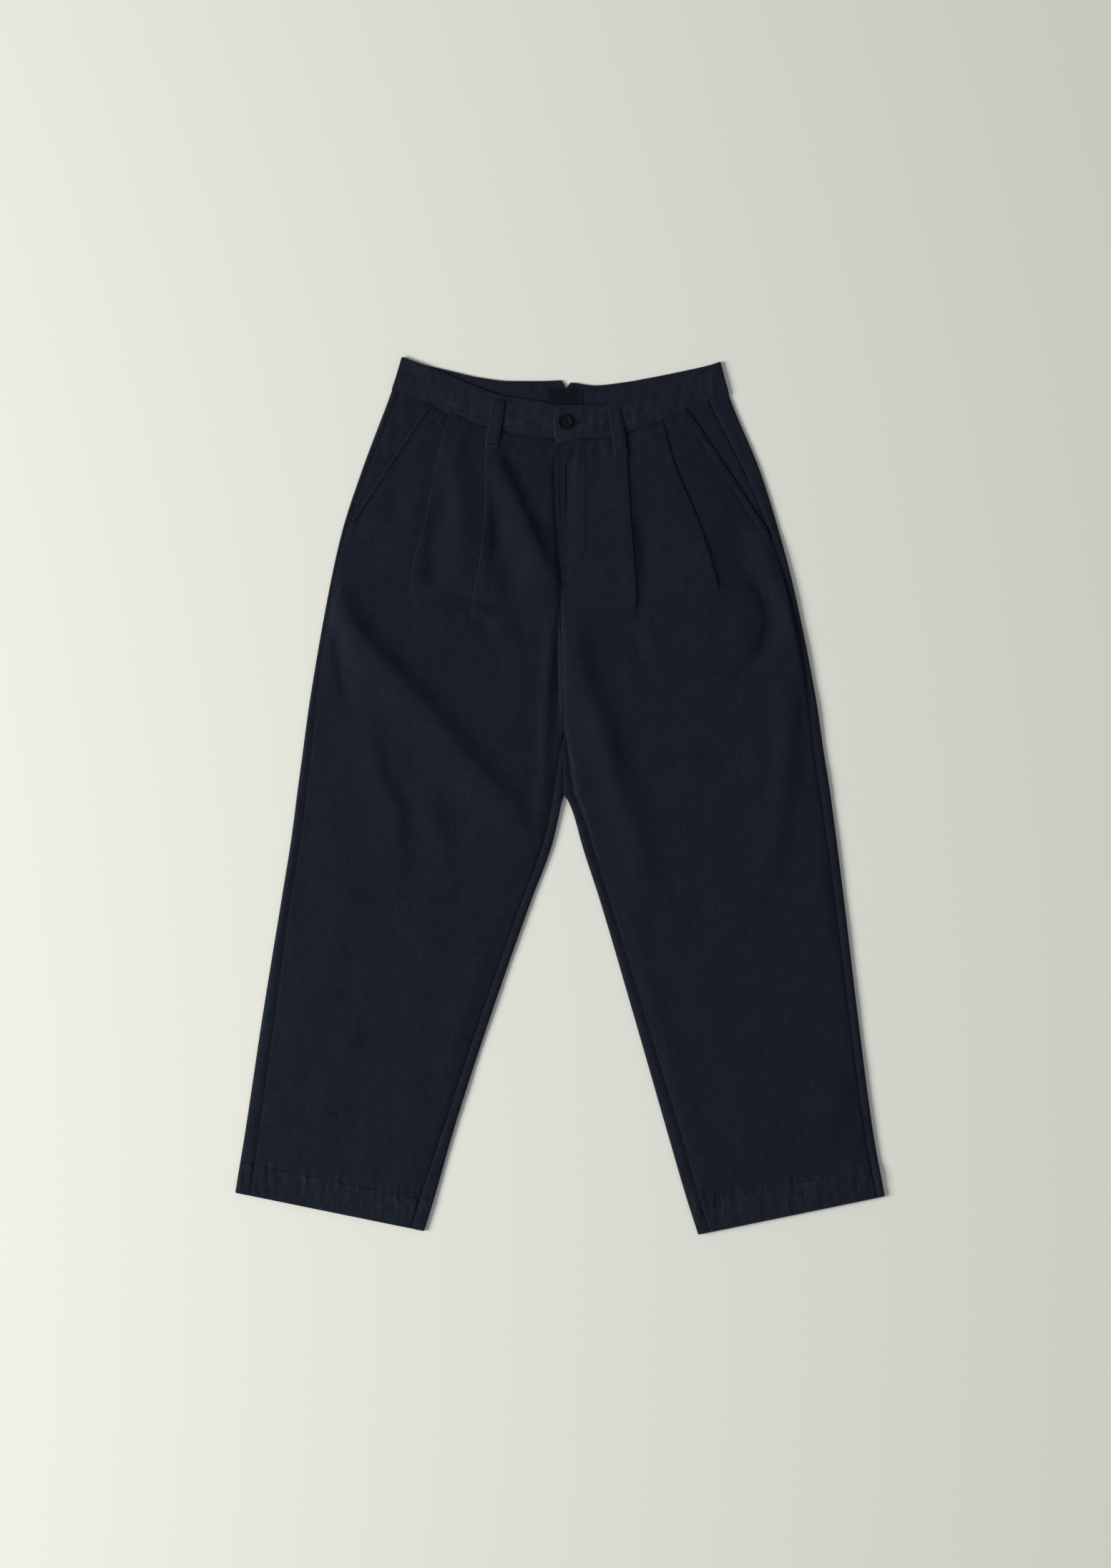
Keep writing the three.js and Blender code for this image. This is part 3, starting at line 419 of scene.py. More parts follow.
class Rows:
    """Rows across a leg, from the waist seam to the hem, named by their height on the centre
    front. The waist's curve, and the back's higher rise, fade away down the leg."""

    def __init__(self, leg, heights, back=False):
        waist, hem = leg["waist"], leg["hem"]
        outline = leg["outline"]
        v = (waist["front_y"] - heights) / (waist["front_y"] - hem["inner_y"])
        near_waist = 1 - smooth(v / WAIST_REACH)
        self.leg = leg
        self.outer_y = mix(waist["outer_y"], hem["outer_y"], v)
        self.inner_y = mix(waist["front_y"], hem["inner_y"], v)
        if back:
            self.inner_y = self.inner_y + (waist["back_y"] - waist["front_y"]) * near_waist
        self.outer = column(outline, "y", "outer")(self.outer_y)
        below = column(outline, "y", "inner")(self.inner_y)
        self.inner = np.where(self.inner_y > PARTED_Y, leg["side"] * CENTRE, below)
        inseam = dict(y=outline["y"], out=outline["inner"] + outline["inseam"])
        below_crossing = smooth((CROSS_Y + 3 - self.inner_y) / 6)
        self.inseam = mix(self.inner, column(inseam, "y", "out")(self.inner_y), below_crossing)
        self.sag = near_waist * (waist["back_sag"] if back else 1)
        self.lap = (0 if back else waist["lap_drop"]) * (1 - smooth(v / LAP_REACH))
        self.drop = column(leg["drop"], "f", "drop")
        self.from_hem = (1 - v) * (waist["front_y"] - hem["inner_y"])

    def y_at(self, out):
        """Height along Y at one distance out for each row, or at several."""
        up = (lambda values: values[:, None]) if np.ndim(out) == 2 else (lambda values: values)
        outer, inner = up(self.outer), up(self.inner)
        f = np.clip((outer - out) / (outer - inner), 0, 1)
        level = mix(up(self.outer_y), up(self.inner_y), f) - up(self.sag) * self.drop(f)
        return level - up(self.lap) * smooth((LAP_OUT - out) / LAP_WIDTH)

    def crossing(self, out_at):
        """Where a line given by y crosses each row."""
        out = out_at((self.outer_y + self.inner_y) / 2)
        for _ in range(8):
            out = out_at(self.y_at(out))
        return out


def leg_heights(leg):
    """Heights of a leg's rows: closer together at the waist seam and in the hem."""
    top, hem = leg["waist"]["front_y"] + 2, leg["hem"]["inner_y"]
    waist = np.arange(top, top - 12, -1.5)
    body = np.linspace(waist[-1] - 2, hem + HEM_DEPTH + 5, round((top - hem) / ROW_STEP))
    turned = hem + np.array([39, 38, 37, 36.2, 35.6, 35, 34.4, 33.8, 33, 32, 30.5, 28.5])
    doubled = np.arange(turned[-1] - 2.4, hem + 3, -2.4)
    edge = hem + np.array([2.4, 1.4, 0.6, 0])
    return np.concatenate([waist, body, turned, doubled, edge])


def side_seam(leg):
    """Distance out of the side seam, by height."""
    outer, inset = (column(leg["outline"], "y", name) for name in ("outer", "side_seam"))
    return lambda y: outer(y) - inset(y)


def mouth_line(leg):
    """Distance out of the pocket mouth, by height."""
    mouth = leg["mouth"]
    run = (mouth["end_out"] - mouth["top_out"]) / (mouth["end_y"] - mouth["top_y"])
    return lambda y: mouth["top_out"] + (y - mouth["top_y"]) * run


# A pleat: the turns of its fold, in degrees from the row when it is closed
TURN_STEP = 45
FOLD_TURN = (22.5, 67.5, 112.5, 157.5)
FOLD_RADIUS = 0.43
FOLD_BACK_RUNS = 4
FOLD_MIDDLE = 0.25          # height of its middle layer over the front's own
FOLD_END_DEPTH = 0.6        # what is left of its depth where it ends
OPEN_FROM = 18              # how far above its end it starts to open out
OPEN_OVER = 30              # and the length over which it does
OPEN_RUN = 0.8              # by how much each run widens as it opens
BESIDE = 13                 # width over which the cloth beside it slopes down


def pleat_fold(pleat, rows):
    """Where a pleat crosses each row: its folded edge, its depth, how far it is closed, and the
    points of its fold. The cloth runs in beneath, back out to the edge, and in again on top."""
    edge = rows.crossing(column(pleat["edge"], "y", "out"))
    y = rows.y_at(edge)
    top_y, end_y = pleat["edge"]["y"][0], pleat["end_y"]
    depth = mix(pleat["depth"], FOLD_END_DEPTH, np.clip((top_y - y) / (top_y - end_y), 0, 1))
    closed = 1 - smooth((end_y + OPEN_FROM - y) / OPEN_OVER)
    headings = np.array([*FOLD_TURN, *[180] * FOLD_BACK_RUNS, *reversed(FOLD_TURN)])
    chord = 2 * FOLD_RADIUS * math.sin(math.radians(TURN_STEP / 2))
    straight = headings == 180
    runs = np.where(straight, depth[:, None] / FOLD_BACK_RUNS, chord)
    runs = runs + OPEN_RUN * (1 - closed[:, None]) ** 2
    angles = np.radians(headings) * closed[:, None]
    start = np.zeros((len(edge), 1))
    inward = np.concatenate([start, np.cumsum(runs * np.cos(angles), 1)], 1)
    height = np.concatenate([start, np.cumsum(runs * np.sin(angles), 1)], 1)
    half = len(FOLD_TURN) + FOLD_BACK_RUNS // 2
    squash = mix(0.15, 1, smooth((closed - 0.3) / 0.7))
    under = FOLD_MIDDLE - FOLD_RADIUS
    middle = np.maximum(FOLD_MIDDLE * closed, under + squash * height[:, half] / 2)
    out = (edge - closed * depth / 2)[:, None] - (inward - inward[:, half : half + 1])
    lift = middle[:, None] + squash[:, None] * (height - height[:, half : half + 1])
    return dict(edge=edge, depth=depth, closed=closed, out=out, lift=lift * rows.leg["pleat_lift"])


def beside_fold(fold, closed_columns, start, end):
    """Anchors beside a pleat: where they lie with it closed, against an even spread when open."""
    count = len(closed_columns) + 1
    return [
        (mix(mix(start, end, (i + 1) / count), out, fold["closed"]), lift)
        for i, (out, lift) in enumerate(closed_columns)
    ]


def fill(anchors, counts):
    """Columns between anchors of (out, lift), that many steps in each interval."""
    outs, lifts = [], []
    for (out_a, lift_a), (out_b, lift_b), count in zip(anchors[:-1], anchors[1:], counts):
        t = np.arange(count) / count
        outs.append(mix(out_a[:, None], out_b[:, None], t))
        lifts.append(mix(lift_a[:, None], lift_b[:, None], smooth(t)))
    return np.concatenate(outs, 1), np.concatenate(lifts, 1)


def front_section(out_edge, in_edge, first, second):
    """The columns of a front from its outer edge to its inner one: their distance out, their
    lift, and how much of a pleat's folded edge each one is."""
    zero = np.zeros(len(out_edge))
    half = lambda fold: fold["edge"] - fold["depth"] / 2
    inside = lambda fold, past: fold["edge"] - fold["depth"] - past
    low, high = (lambda fold: fold["lift"][:, 0]), (lambda fold: fold["lift"][:, -1])
    before, after = first["edge"] + BESIDE, inside(second, 2 + BESIDE)
    outer = [(out_edge, zero), (out_edge - 10, zero)] + beside_fold(first, [
        (before, zero), (first["edge"] + 2, low(first)), (half(first), low(first)),
    ], out_edge - 10, first["out"][:, 0]) + [(first["out"][:, 0], low(first))]
    middle = [(first["out"][:, -1], high(first))] + beside_fold(first, [
        (half(first), high(first)), (inside(first, 2), high(first)),
        (mix(inside(first, 2), second["edge"] + 2, 0.5), zero),
        (second["edge"] + 2, low(second)), (half(second), low(second)),
    ], first["out"][:, -1], second["out"][:, 0]) + [(second["out"][:, 0], low(second))]
    inner = [(second["out"][:, -1], high(second))] + beside_fold(second, [
        (half(second), high(second)), (inside(second, 2), high(second)), (after, zero),
        (mix(after, in_edge, 0.5), zero),
    ], second["out"][:, -1], in_edge + 8) + [(in_edge + 8, zero), (in_edge, zero)]
    parts = [
        fill(outer, (10, 12, 5, 4, 3)), (first["out"][:, :-1], first["lift"][:, :-1]),
        fill(middle, (3, 4, 9, 9, 4, 3)), (second["out"][:, :-1], second["lift"][:, :-1]),
        fill(inner, (3, 3, 6, 10, 10, 8)), (in_edge[:, None], zero[:, None]),
    ]
    out = np.concatenate([part[0] for part in parts], 1)
    lift = np.concatenate([part[1] for part in parts], 1)
    fold_edge = np.zeros(out.shape)
    for part, fold in ((1, first), (3, second)):
        start = sum(p[0].shape[1] for p in parts[:part])
        turn = start + len(FOLD_TURN) + FOLD_BACK_RUNS + np.arange(-1, len(FOLD_TURN))
        fold_edge[:, turn] = fold["closed"][:, None]
    return out, lift, fold_edge


def front_edge(rows):
    """The inner edge of a front: the fly, then the centre seam, then the inseam."""
    edge = column(FLY_EDGE, "y", "x")(rows.inner_y)
    opened = smooth((rows.inner_y - FLY["closed_y"]) / (FLY["end_y"] - FLY["closed_y"]))
    above = edge if rows.leg["laps"] else -edge - opened * FLY["under"]
    return np.where(rows.inner_y <= CROSS_Y, rows.inseam + GAP, above)


def fly_lift(leg, x, y, from_edge):
    """The right front dips under the left one, which rises to the lapped end of the band."""
    at_band = smooth((y - 362) / 26)
    if leg["laps"]:
        return 2 * at_band * smooth((46 - from_edge) / 30)
    covered = smooth((x - column(FLY_EDGE, "y", "x")(y) + 1.5) / 2)
    return -FLY["dip"] * smooth((y - 168) / 24) * (1 - at_band) * covered


def loose_cloth(leg, x, y, from_side, from_centre, from_waist, from_hem):
    """The large forms of a front: the creases, the crown of the thigh and the side's ridge."""
    free = smooth(from_side / 11) * smooth(from_centre / 6)
    thigh = smooth((from_waist - 8) / 90) * smooth((y + 40) / 150)
    crown = 0.6 + CROWN * thigh * smooth(from_side / 70) * smooth(from_centre / 50)
    soft = crease_height(CREASES[leg["name"]], x, y) * free
    soft += crown * smooth(from_side / 26) * smooth(from_centre / 20)
    soft += column(leg["side_rise"], "y", "rise")(y) * bell(from_side, 18)
    above_hem = mix(0.12, 1, smooth((from_hem - HEM_DEPTH + 4) / 34))
    below_band = smooth((from_waist - 1) / 15)
    return soft * (above_hem * below_band)


def limp_cloth(leg, x, y, from_side, from_centre, from_hem):
    """The small unevenness of washed cloth, with crinkles below the lapped end of the band."""
    limp = 0.3 * uneven(x, y * 0.6, 46, 1) + 0.14 * uneven(x, y, 17, 2) + 0.05 * uneven(x, y, 7, 4)
    crinkled = leg["laps"] * smooth((30 - x) / 9) * smooth((y - 332) / 30)
    limp = limp + 0.34 * uneven(x, y * 0.7, 8, 6) * crinkled
    return limp * smooth(from_side / 12) * smooth(from_centre / 12) * smooth(from_hem / 12)


def mouth_relief(x, y, from_side, in_pocket):
    """The doubled edge of a pocket mouth, with its two stitched lines and its puckers."""
    rib = 0.35 * smooth((10 - from_side) / 2.5) * in_pocket
    first, second = MOUTH_STITCHES
    rib -= in_pocket * 0.4 * (bell(from_side - first, 0.8) + bell(from_side - second, 0.9))
    return rib + 0.16 * uneven(x, y, 8, 3) * in_pocket * smooth((14 - from_side) / 6)


def hem_step(from_hem, groove):
    """The doubled cloth of a hem, and the groove of its stitching."""
    doubled = HEM_LIFT * smooth((HEM_DEPTH + 0.6 - from_hem) / 1.4)
    return doubled - groove * bell(from_hem - HEM_STITCHES, 0.9)


def front_wear_and_shade(leg, x, y, fold_edge, from_side, from_centre, from_hem, from_waist, in_pocket):
    """Paler on folds and edges, partly a painted highlight on the lit pleats, and painted shade in
    the ditches of the seams, below the band and along the fly's stitching.
    """
    # Painted shade along the fly's curved stitching, on the lapping front only
    stitches = bell(x - column(FLY_STITCHING, "y", "x")(y), 0.8) * smooth((y - 242) / 4)
    rubbed_and_highlight = most(
        fold_edge**3 * leg["pleat_wear"], 0.3 * bell(from_side, 1.0), 0.4 * bell(from_centre, 1.2),
        0.8 * bell(from_hem, 1.2), 0.3 * bell(from_hem - HEM_DEPTH - 0.6, 1.2),
        in_pocket * 0.35 * bell(from_side - 0.4, 0.9), in_pocket * 0.25 * bell(from_side - 5, 2.2),
        hem_wear(hem_ripple(leg["side"] * x, from_hem, leg), from_hem),
    )
    # Painted shade: below the waist seam, in the ditches of seams, hem and mouth stitching, and along the fly
    return rubbed_and_highlight - most(
        0.6 * bell(from_waist - 0.8, 1.1), 0.7 * bell(from_side, 0.7) * (1 - in_pocket),
        0.5 * bell(from_centre, 0.8), 0.5 * bell(from_hem - HEM_STITCHES, 0.9),
        0.8 * in_pocket * most(bell(from_side - 2.2, 0.7), bell(from_side - 8.8, 0.8)),
        0.6 * stitches * leg["laps"],
    )


def front_panel(leg):
    """A front: its pleats, its creases, and the relief of its seams, mouth and hem."""
    rows = Rows(leg, leg_heights(leg))
    seam, mouth = side_seam(leg), mouth_line(leg)
    mouth_end = leg["mouth"]["end_y"]
    out_edge = rows.crossing(
        lambda y: np.where(y > mouth_end, np.minimum(mouth(y), seam(y) - GAP), seam(y) - GAP))
    in_edge = front_edge(rows)
    folds = [pleat_fold(pleat, rows) for pleat in leg["pleats"]]
    out, lift, fold_edge = front_section(out_edge, in_edge, *folds)
    x, y = leg["side"] * out, rows.y_at(out)
    from_side, from_centre = out_edge[:, None] - out, out - in_edge[:, None]
    from_hem = rows.from_hem[:, None]
    from_waist = (leg["waist"]["front_y"] - leg["hem"]["inner_y"]) - from_hem
    in_pocket = smooth((y - mouth_end + 14) / 10)
    fly = fly_lift(leg, x, y, from_centre)
    soft = loose_cloth(leg, x, y, from_side, from_centre, from_waist, from_hem)
    level = TOP + fly + soft * np.clip(1 + fly / FLY["dip"], 0, 1)
    level += limp_cloth(leg, x, y, from_side, from_centre, from_hem)
    level += mouth_relief(x, y, from_side, in_pocket)
    level -= 0.55 * bell(from_side, 2.2) * (1 - in_pocket)
    level -= 0.6 * bell(from_centre, 2.0) * (1 - smooth((y - 232) / 8))
    level += centre_rise(leg, y, from_centre)
    level += hem_step(from_hem, 0.5) + hem_ripple(out, from_hem, leg)
    level += 0.4 * uneven(x, y * 0.35, 11, 5) * smooth((34 - from_waist) / 24)
    level -= 0.5 * bell(from_waist, 2.4)
    pressed = mix(0.6, 1, smooth((from_waist - 1) / 14))
    z = np.maximum(level, LOWEST_FRONT) + lift * pressed
    wear = front_wear_and_shade(
        leg, x, y, fold_edge, from_side, from_centre, from_hem, from_waist, in_pocket)
    return shell(f"front_leg_{leg['name']}_cloth", stack(x, y, z), CLOTH * pressed, wear=wear)


def hem_ripple(out, from_hem, leg):
    """Short puckers across the hem, deepest at its stitching."""
    wave = uneven(out, 0.16 * from_hem, 9, 11 + leg["side"]) + 0.8 * uneven(out, 0.3 * from_hem, 4.6, 13)
    reach = bell(from_hem - 30, 9) + 0.7 * bell(from_hem - 14, 11) + 0.5 * bell(from_hem - 39, 6)
    return 0.44 * wave * reach


def hem_wear(pucker, from_hem):
    """The hem's puckers are paler where they stand out."""
    return np.clip(0.7 * pucker + 0.12, 0, 0.6) * smooth((HEM_DEPTH + 2 - from_hem) / 3)


def rounded(outline, top, bottom, reach, outwards, count=10):
    """A fold round the edge, from the top layer to the bottom one: (out, z) pairs."""
    turn = np.linspace(0, math.pi, count)
    middle, half = (top + bottom) / 2, (top - bottom) / 2
    return [
        (outline - outwards * (CLOTH / 2 + reach * (1 - math.sin(t))), middle + half * math.cos(t))
        for t in turn
    ]


def back_panel(leg):
    """A back: flat beneath, and folded round the side and the inner leg up to the front's seams.
    Above the crotch, a wall at the centre and a tongue that carries the inseam take the place
    of the inner fold."""
    rows = Rows(leg, leg_heights(leg), back=True)
    seam = rows.crossing(side_seam(leg))
    inseam = rows.inseam
    from_hem = rows.from_hem[:, None]
    flat_z = UNDER + 0 * seam
    top = mix(TOP, FACING_LEVEL, smooth((rows.outer_y - leg["mouth"]["end_y"] + 25) / 30))

    # The side's fold is soft, and no wider than the strip between it and the seam
    reach = np.minimum(4.5, 0.42 * (rows.outer - seam))
    outer = rounded(rows.outer, top, flat_z, reach, 1)
    ridge = column(leg["side_rise"], "y", "rise")(rows.outer_y)
    steps = (0, 0.06, 0.14, 0.26, 0.42, 0.58, 0.72, 0.84, 0.93)
    strip = [(mix(seam, outer[0][0], t), top + ridge * (1 - t) ** 2) for t in steps]

    # The inner side is a fold where the legs have parted, and a wall at the centre above that
    parted = rows.inner_y < PARTED_Y
    soft_turn = np.minimum(4, 0.4 * (inseam - rows.inner)) * smooth((CROTCH_Y - rows.inner_y) / 40)
    turn = rounded(rows.inner, TOP + 0 * flat_z, flat_z, soft_turn, -1)[::-1]
    wall_out = leg["side"] * CENTRE - leg["tuck"] * np.linspace(0, 1, len(turn))
    wall_z = np.linspace(UNDER, TOP, len(turn))
    inner = [
        (np.where(parted, fold[0], out), np.where(parted, fold[1], z))
        for fold, out, z in zip(turn, wall_out, wall_z)
    ]
    flat = [(mix(outer[-1][0], inner[0][0], t), flat_z) for t in np.linspace(0.05, 0.95, 19)]
    steps = (0.15, 0.3, 0.45, 0.6, 0.75, 0.86, 0.94, 1)
    tongue = [(mix(inner[-1][0], inseam, t), TOP + 0 * flat_z) for t in steps]

    section = [*strip, *outer, *flat, *inner, *tongue]
    out = np.stack([pair[0] for pair in section], 1)
    z = np.stack([pair[1] for pair in section], 1)
    x, y = leg["side"] * out, rows.y_at(out)
    on_top = smooth((z - TOP * 0.45) / (TOP * 0.3))
    from_seam, from_inseam = seam[:, None] - out, np.abs(out - inseam[:, None])
    ripple = hem_ripple(out, from_hem, leg)
    relief = -0.55 * bell(from_seam, 2.2) - 0.55 * bell(from_inseam, 2.2)
    relief += 0.5 * bell(-from_seam - 6, 3.5) + 0.45 * bell(from_inseam - 5.5, 3)
    relief += 0.25 * uneven(x, y * 0.5, 38, 21) + 0.1 * uneven(x, y, 13, 22)
    relief += hem_step(from_hem, 0.45) + ripple
    # Between the legs the right inseam's allowance dips under the edge of the left one
    between = smooth((rows.inner_y + 10) / 10)[:, None]
    relief -= leg["crotch_dip"] * between * bell(out - inner[-1][0][:, None], 3.2)
    wear = on_top * most(
        0.25 * bell(from_seam, 1.2), 0.25 * bell(from_inseam, 1.2), 0.8 * bell(from_hem, 1.2),
        0.45 * bell(rows.outer[:, None] - out, 2.5), 0.3 * bell(out - rows.inner[:, None], 2.5),
        hem_wear(ripple, from_hem),
    )
    # Painted shade in the ditches of the seams, the inseam and the hem's stitching
    wear = wear - on_top * most(
        0.7 * bell(from_seam, 0.8), 0.5 * bell(from_inseam, 0.8),
        0.5 * bell(from_hem - HEM_STITCHES, 0.9),
    )

    # Above the crotch there is no inner strip, and above the crossing no tongue either
    keep = np.ones((out.shape[0] - 1, out.shape[1] - 1), bool)
    tongue_from = keep.shape[1] - len(tongue)
    keep[: int(np.argmax(parted)), tongue_from - len(inner) + 1 : tongue_from] = False
    keep[: int(np.argmax(rows.inner_y < CROSS_Y)) - 1, tongue_from:] = False
    z = np.maximum(z + on_top * relief, UNDER)
    return shell(f"back_leg_{leg['name']}_cloth", stack(x, y, z), CLOTH, keep=keep, wear=wear)


def pocket_facing(leg):
    """The cloth behind a pocket mouth, with painted shade where the front lies on it and in its seam."""
    heights = leg_heights(leg)
    rows = Rows(leg, heights[heights > leg["mouth"]["end_y"] - 60])
    start = rows.crossing(side_seam(leg)) - GAP
    end = np.minimum(rows.crossing(mouth_line(leg)), start) - FACING_REACH
    out = mix(start[:, None], end[:, None], np.linspace(0, 1, 26))
    x, y = leg["side"] * out, rows.y_at(out)
    from_seam = start[:, None] - out
    z = FACING_LEVEL + 0.3 * uneven(x, y * 0.4, 16, 31) * smooth(from_seam / 8)
    z = z - 0.4 * bell(from_seam, 2.0)
    # Painted shade under the front's edge and in the ditch of the seam
    covered = smooth(FACING_REACH + 1 - (out - end[:, None]))
    wear = 0.3 * bell(from_seam, 1.2) - 0.6 * bell(from_seam, 0.7) - 0.5 * covered
    return shell(f"pocket_facing_{leg['name']}_cloth", stack(x, y, z), CLOTH, wear=wear)


def waistband(leg):
    """Half of the waistband, from the centre front round the side fold to the centre back."""
    band, side = leg["band"], leg["side"]
    waist = np.array([float(leg["waist"]["front_y"])])
    front_seam, back_seam = Rows(leg, waist), Rows(leg, waist, back=True)
    front_top, back_top = (column(band[name], "out", "y") for name in ("front_top", "back_top"))
    q = np.concatenate([[0, 0.006, 0.02, 0.045], np.linspace(0.08, 0.92, 30), [0.955, 0.98, 0.994, 1]])
    down = q[:, None]

    # Where its ends and its side fold lie, from the top (q = 0) to the waist seam (q = 1)
    front_end = column(band["front_end"], "q", "out")(q)
    fold_out = mix(band["fold_top"][0], front_seam.outer[0], q)
    centre = side * CENTRE + GAP / 2
    notch_q = 0.17
    back_end = np.where(
        q < notch_q,
        mix(band["back_end_top"], band["notch"], q / notch_q),
        mix(band["notch"], centre, (q - notch_q) / (1 - notch_q)),
    )
    turn = rounded(fold_out, BAND_FRONT, BAND_BACK, 2.4, 1, count=9)
    turn_out = np.stack([pair[0] for pair in turn], 1)
    front = np.concatenate([[0, 0.002, 0.006, 0.012], np.linspace(0.022, 0.99, 92)])
    front_out = mix(front_end[:, None], turn_out[:, :1], front)
    back_out = mix(turn_out[:, -1:], back_end[:, None], np.linspace(0.02, 1, 60))
    on_front_y = lambda out: mix(front_top(out), seam_y(front_seam, out), down)
    on_back_y = lambda out: mix(back_top(out), seam_y(back_seam, out), down)
    round_turn = np.linspace(0, 1, len(turn))
    turn_y = mix(on_front_y(turn_out), on_back_y(turn_out), round_turn)
    out = np.concatenate([front_out, turn_out, back_out], 1)
    y = np.concatenate([on_front_y(front_out), turn_y, on_back_y(back_out)], 1)
    x = side * out

    # The front sinks a little towards the side fold, and rises where it laps
    front_z = BAND_FRONT + band["lap_rise"] * smooth((52 - front_out) / 30)
    front_z = front_z - BAND_SETTLE * smooth((front_out - 60) / 90)
    turn_z = np.stack([pair[1] + 0 * q for pair in turn], 1)
    upper = len(turn) // 2
    turn_z[:, :upper] -= BAND_SETTLE * (1 - round_turn[:upper] * 2)
    z = np.concatenate([front_z, turn_z, BAND_BACK + 0 * back_out], 1)
    on_front = np.concatenate([1 + 0 * front_out, 1 - round_turn + 0 * turn_out, 0 * back_out], 1)
    from_top, from_seam = down * BAND_DEPTH, (1 - down) * BAND_DEPTH
    from_end = out - front_end[:, None]
    edges = np.minimum(from_top, from_seam)
    roll = -0.55 * bell(edges, 1.3) - 0.45 * smooth((9 - from_seam) / 9)
    rim = -0.8 * leg["laps"] * bell(from_end, 0.9)
    first, second = BAND_STITCHES
    sewn_in = -0.4 * most(
        bell(from_seam - first, 0.8), bell(from_seam - second, 0.8), leg["laps"] * bell(from_end - 2.2, 0.7))
    pull = 0.5 * uneven(x, y * 0.25, 12, 41) + 0.3 * uneven(x * 1.2, y * 0.4, 6, 42)
    pull = pull * leg["band_pull"] + crease_height(BAND_CREASES[leg["name"]], x, y)
    z = z + on_front * (roll + rim + sewn_in + pull * smooth(edges / 5))
    z = z + (1 - on_front) * 0.12 * uneven(x, y * 0.5, 9, 43) * smooth(edges / 5)
    wear = most(
        0.7 * bell(from_top, 1.2), 0.35 * bell(from_seam, 1.0), np.clip(0.35 * pull + 0.16, 0, 0.5))
    # Painted shade in the stitch grooves and at the waist seam
    wear = wear + sewn_in * on_front * 1.2 - 0.5 * bell(from_seam, 0.5)
    ends = bell(from_end, 1.2) * on_front
    wear = most(wear, ends, 0.5 * leg["laps"] * on_front * bell(from_end - 3.8, 0.6))
    wall = BAND_CLOTH - 0.5 * bell(edges, 1.0) - 0.4 * ends
    z = np.maximum(z, BAND_BACK)
    return shell(f"waistband_{leg['name']}_cloth", stack(x, y, z), wall, wear=wear)


def seam_y(seam, out):
    """Height along Y of a one-row seam at each distance out."""
    return seam.y_at(out.reshape(1, -1)).reshape(out.shape)


def loop_frame(leg):
    """A belt loop's start, its length and its direction."""
    (x0, x1), (y0, y1) = leg["loop"]["x"], leg["loop"]["y"]
    length = math.hypot(x1 - x0, y1 - y0)
    return (x0, y0), length, ((x1 - x0) / length, (y1 - y0) / length)


def loop_place(leg, along, across):
    """Places on a belt loop: along it and across it, in millimetres."""
    (x, y), _, (dx, dy) = loop_frame(leg)
    return x + dx * along + dy * across, y + dy * along - dx * across


def belt_loop(leg):
    """A narrow strip with its ends turned under, tacked on the band and on the pleat below."""
    _, length, _ = loop_frame(leg)
    across = np.linspace(-LOOP["half"], LOOP["half"], 25)[None, :]
    t = np.concatenate([[0, 0.004, 0.012], np.linspace(0.025, 0.975, 62), [0.988, 0.996, 1]])[:, None]
    along = t * length
    from_edge, from_end = LOOP["half"] - np.abs(across), np.minimum(along, length - along)
    from_stitches = np.abs(across) - LOOP["stitches"]
    z = column(LOOP_RISE, "t", "z")(t) - 0.75 * bell(from_edge, 1.1) - 0.35 * bell(from_stitches, 0.8)
    z = z - 0.5 * bell(from_end, 0.9)
    z = z + 0.28 * uneven(along, across, 7, 53) * (0.3 + 0.7 * bell(from_end - 6, 7))
    wander = 0.25 * uneven(along, 6 * across, 9, 51 + leg["side"])
    x, y = loop_place(leg, along, across + wander)
    wear = most(0.45 * bell(from_edge, 0.9), 0.5 * bell(from_end, 1.2), np.array(0.12))
    # Painted shade in the ditches of its stitching
    wear = wear - 0.5 * bell(from_stitches, 0.7)
    return shell(f"belt_loop_{leg['name']}_cloth", stack(x, y, z), LOOP_CLOTH, wear=wear)


def waist_label():
    """A bare woven label inside the back band, with its lower end under the front one."""
    (left, right), (top, bottom) = LABEL["x"], LABEL["y"]
    x, y = np.linspace(left, right, 85)[None, :], np.linspace(top, bottom, 25)[:, None]
    from_end, from_top = np.minimum(x - left, right - x), top - y
    z = LABEL["level"] + 0.14 * uneven(x, y, 13, 61)
    z = z - 0.2 * bell(from_end - LABEL_STITCH, 0.7) - 0.12 * bell(from_top, 0.8)
    wear = most(0.9 * bell(from_end, 0.6), 0.7 * bell(from_end - 3.3, 0.45), 0.4 * bell(from_top, 0.6))
    return shell("waist_label_cloth", stack(x, y, z), LABEL["wall"], wear=wear)


def turned(profile, segments):
    """A closed shape turned round Z from (radius, z) pairs that start and end on the axis."""
    angles = 2 * math.pi * np.arange(segments) / segments
    middle = np.array(profile[1:-1], float)
    rings = np.stack([
        middle[:, :1] * np.cos(angles), middle[:, :1] * np.sin(angles), middle[:, 1:] + 0 * angles,
    ], -1)
    points = np.concatenate([[[0, 0, profile[0][1]]], rings.reshape(-1, 3), [[0, 0, profile[-1][1]]]])
    ring = 1 + np.arange(len(middle) * segments).reshape(len(middle), segments)
    after = np.roll(ring, -1, 1)
    low, high = np.zeros(segments, int), np.full(segments, len(points) - 1)
    faces = [np.stack([low, after[0], ring[0]], -1), np.stack([high, ring[-1], after[-1]], -1)]
    for i in range(len(middle) - 1):
        faces.append(np.stack([ring[i], after[i], after[i + 1]], -1))
        faces.append(np.stack([ring[i], after[i + 1], ring[i + 1]], -1))
    return points, np.concatenate(faces)


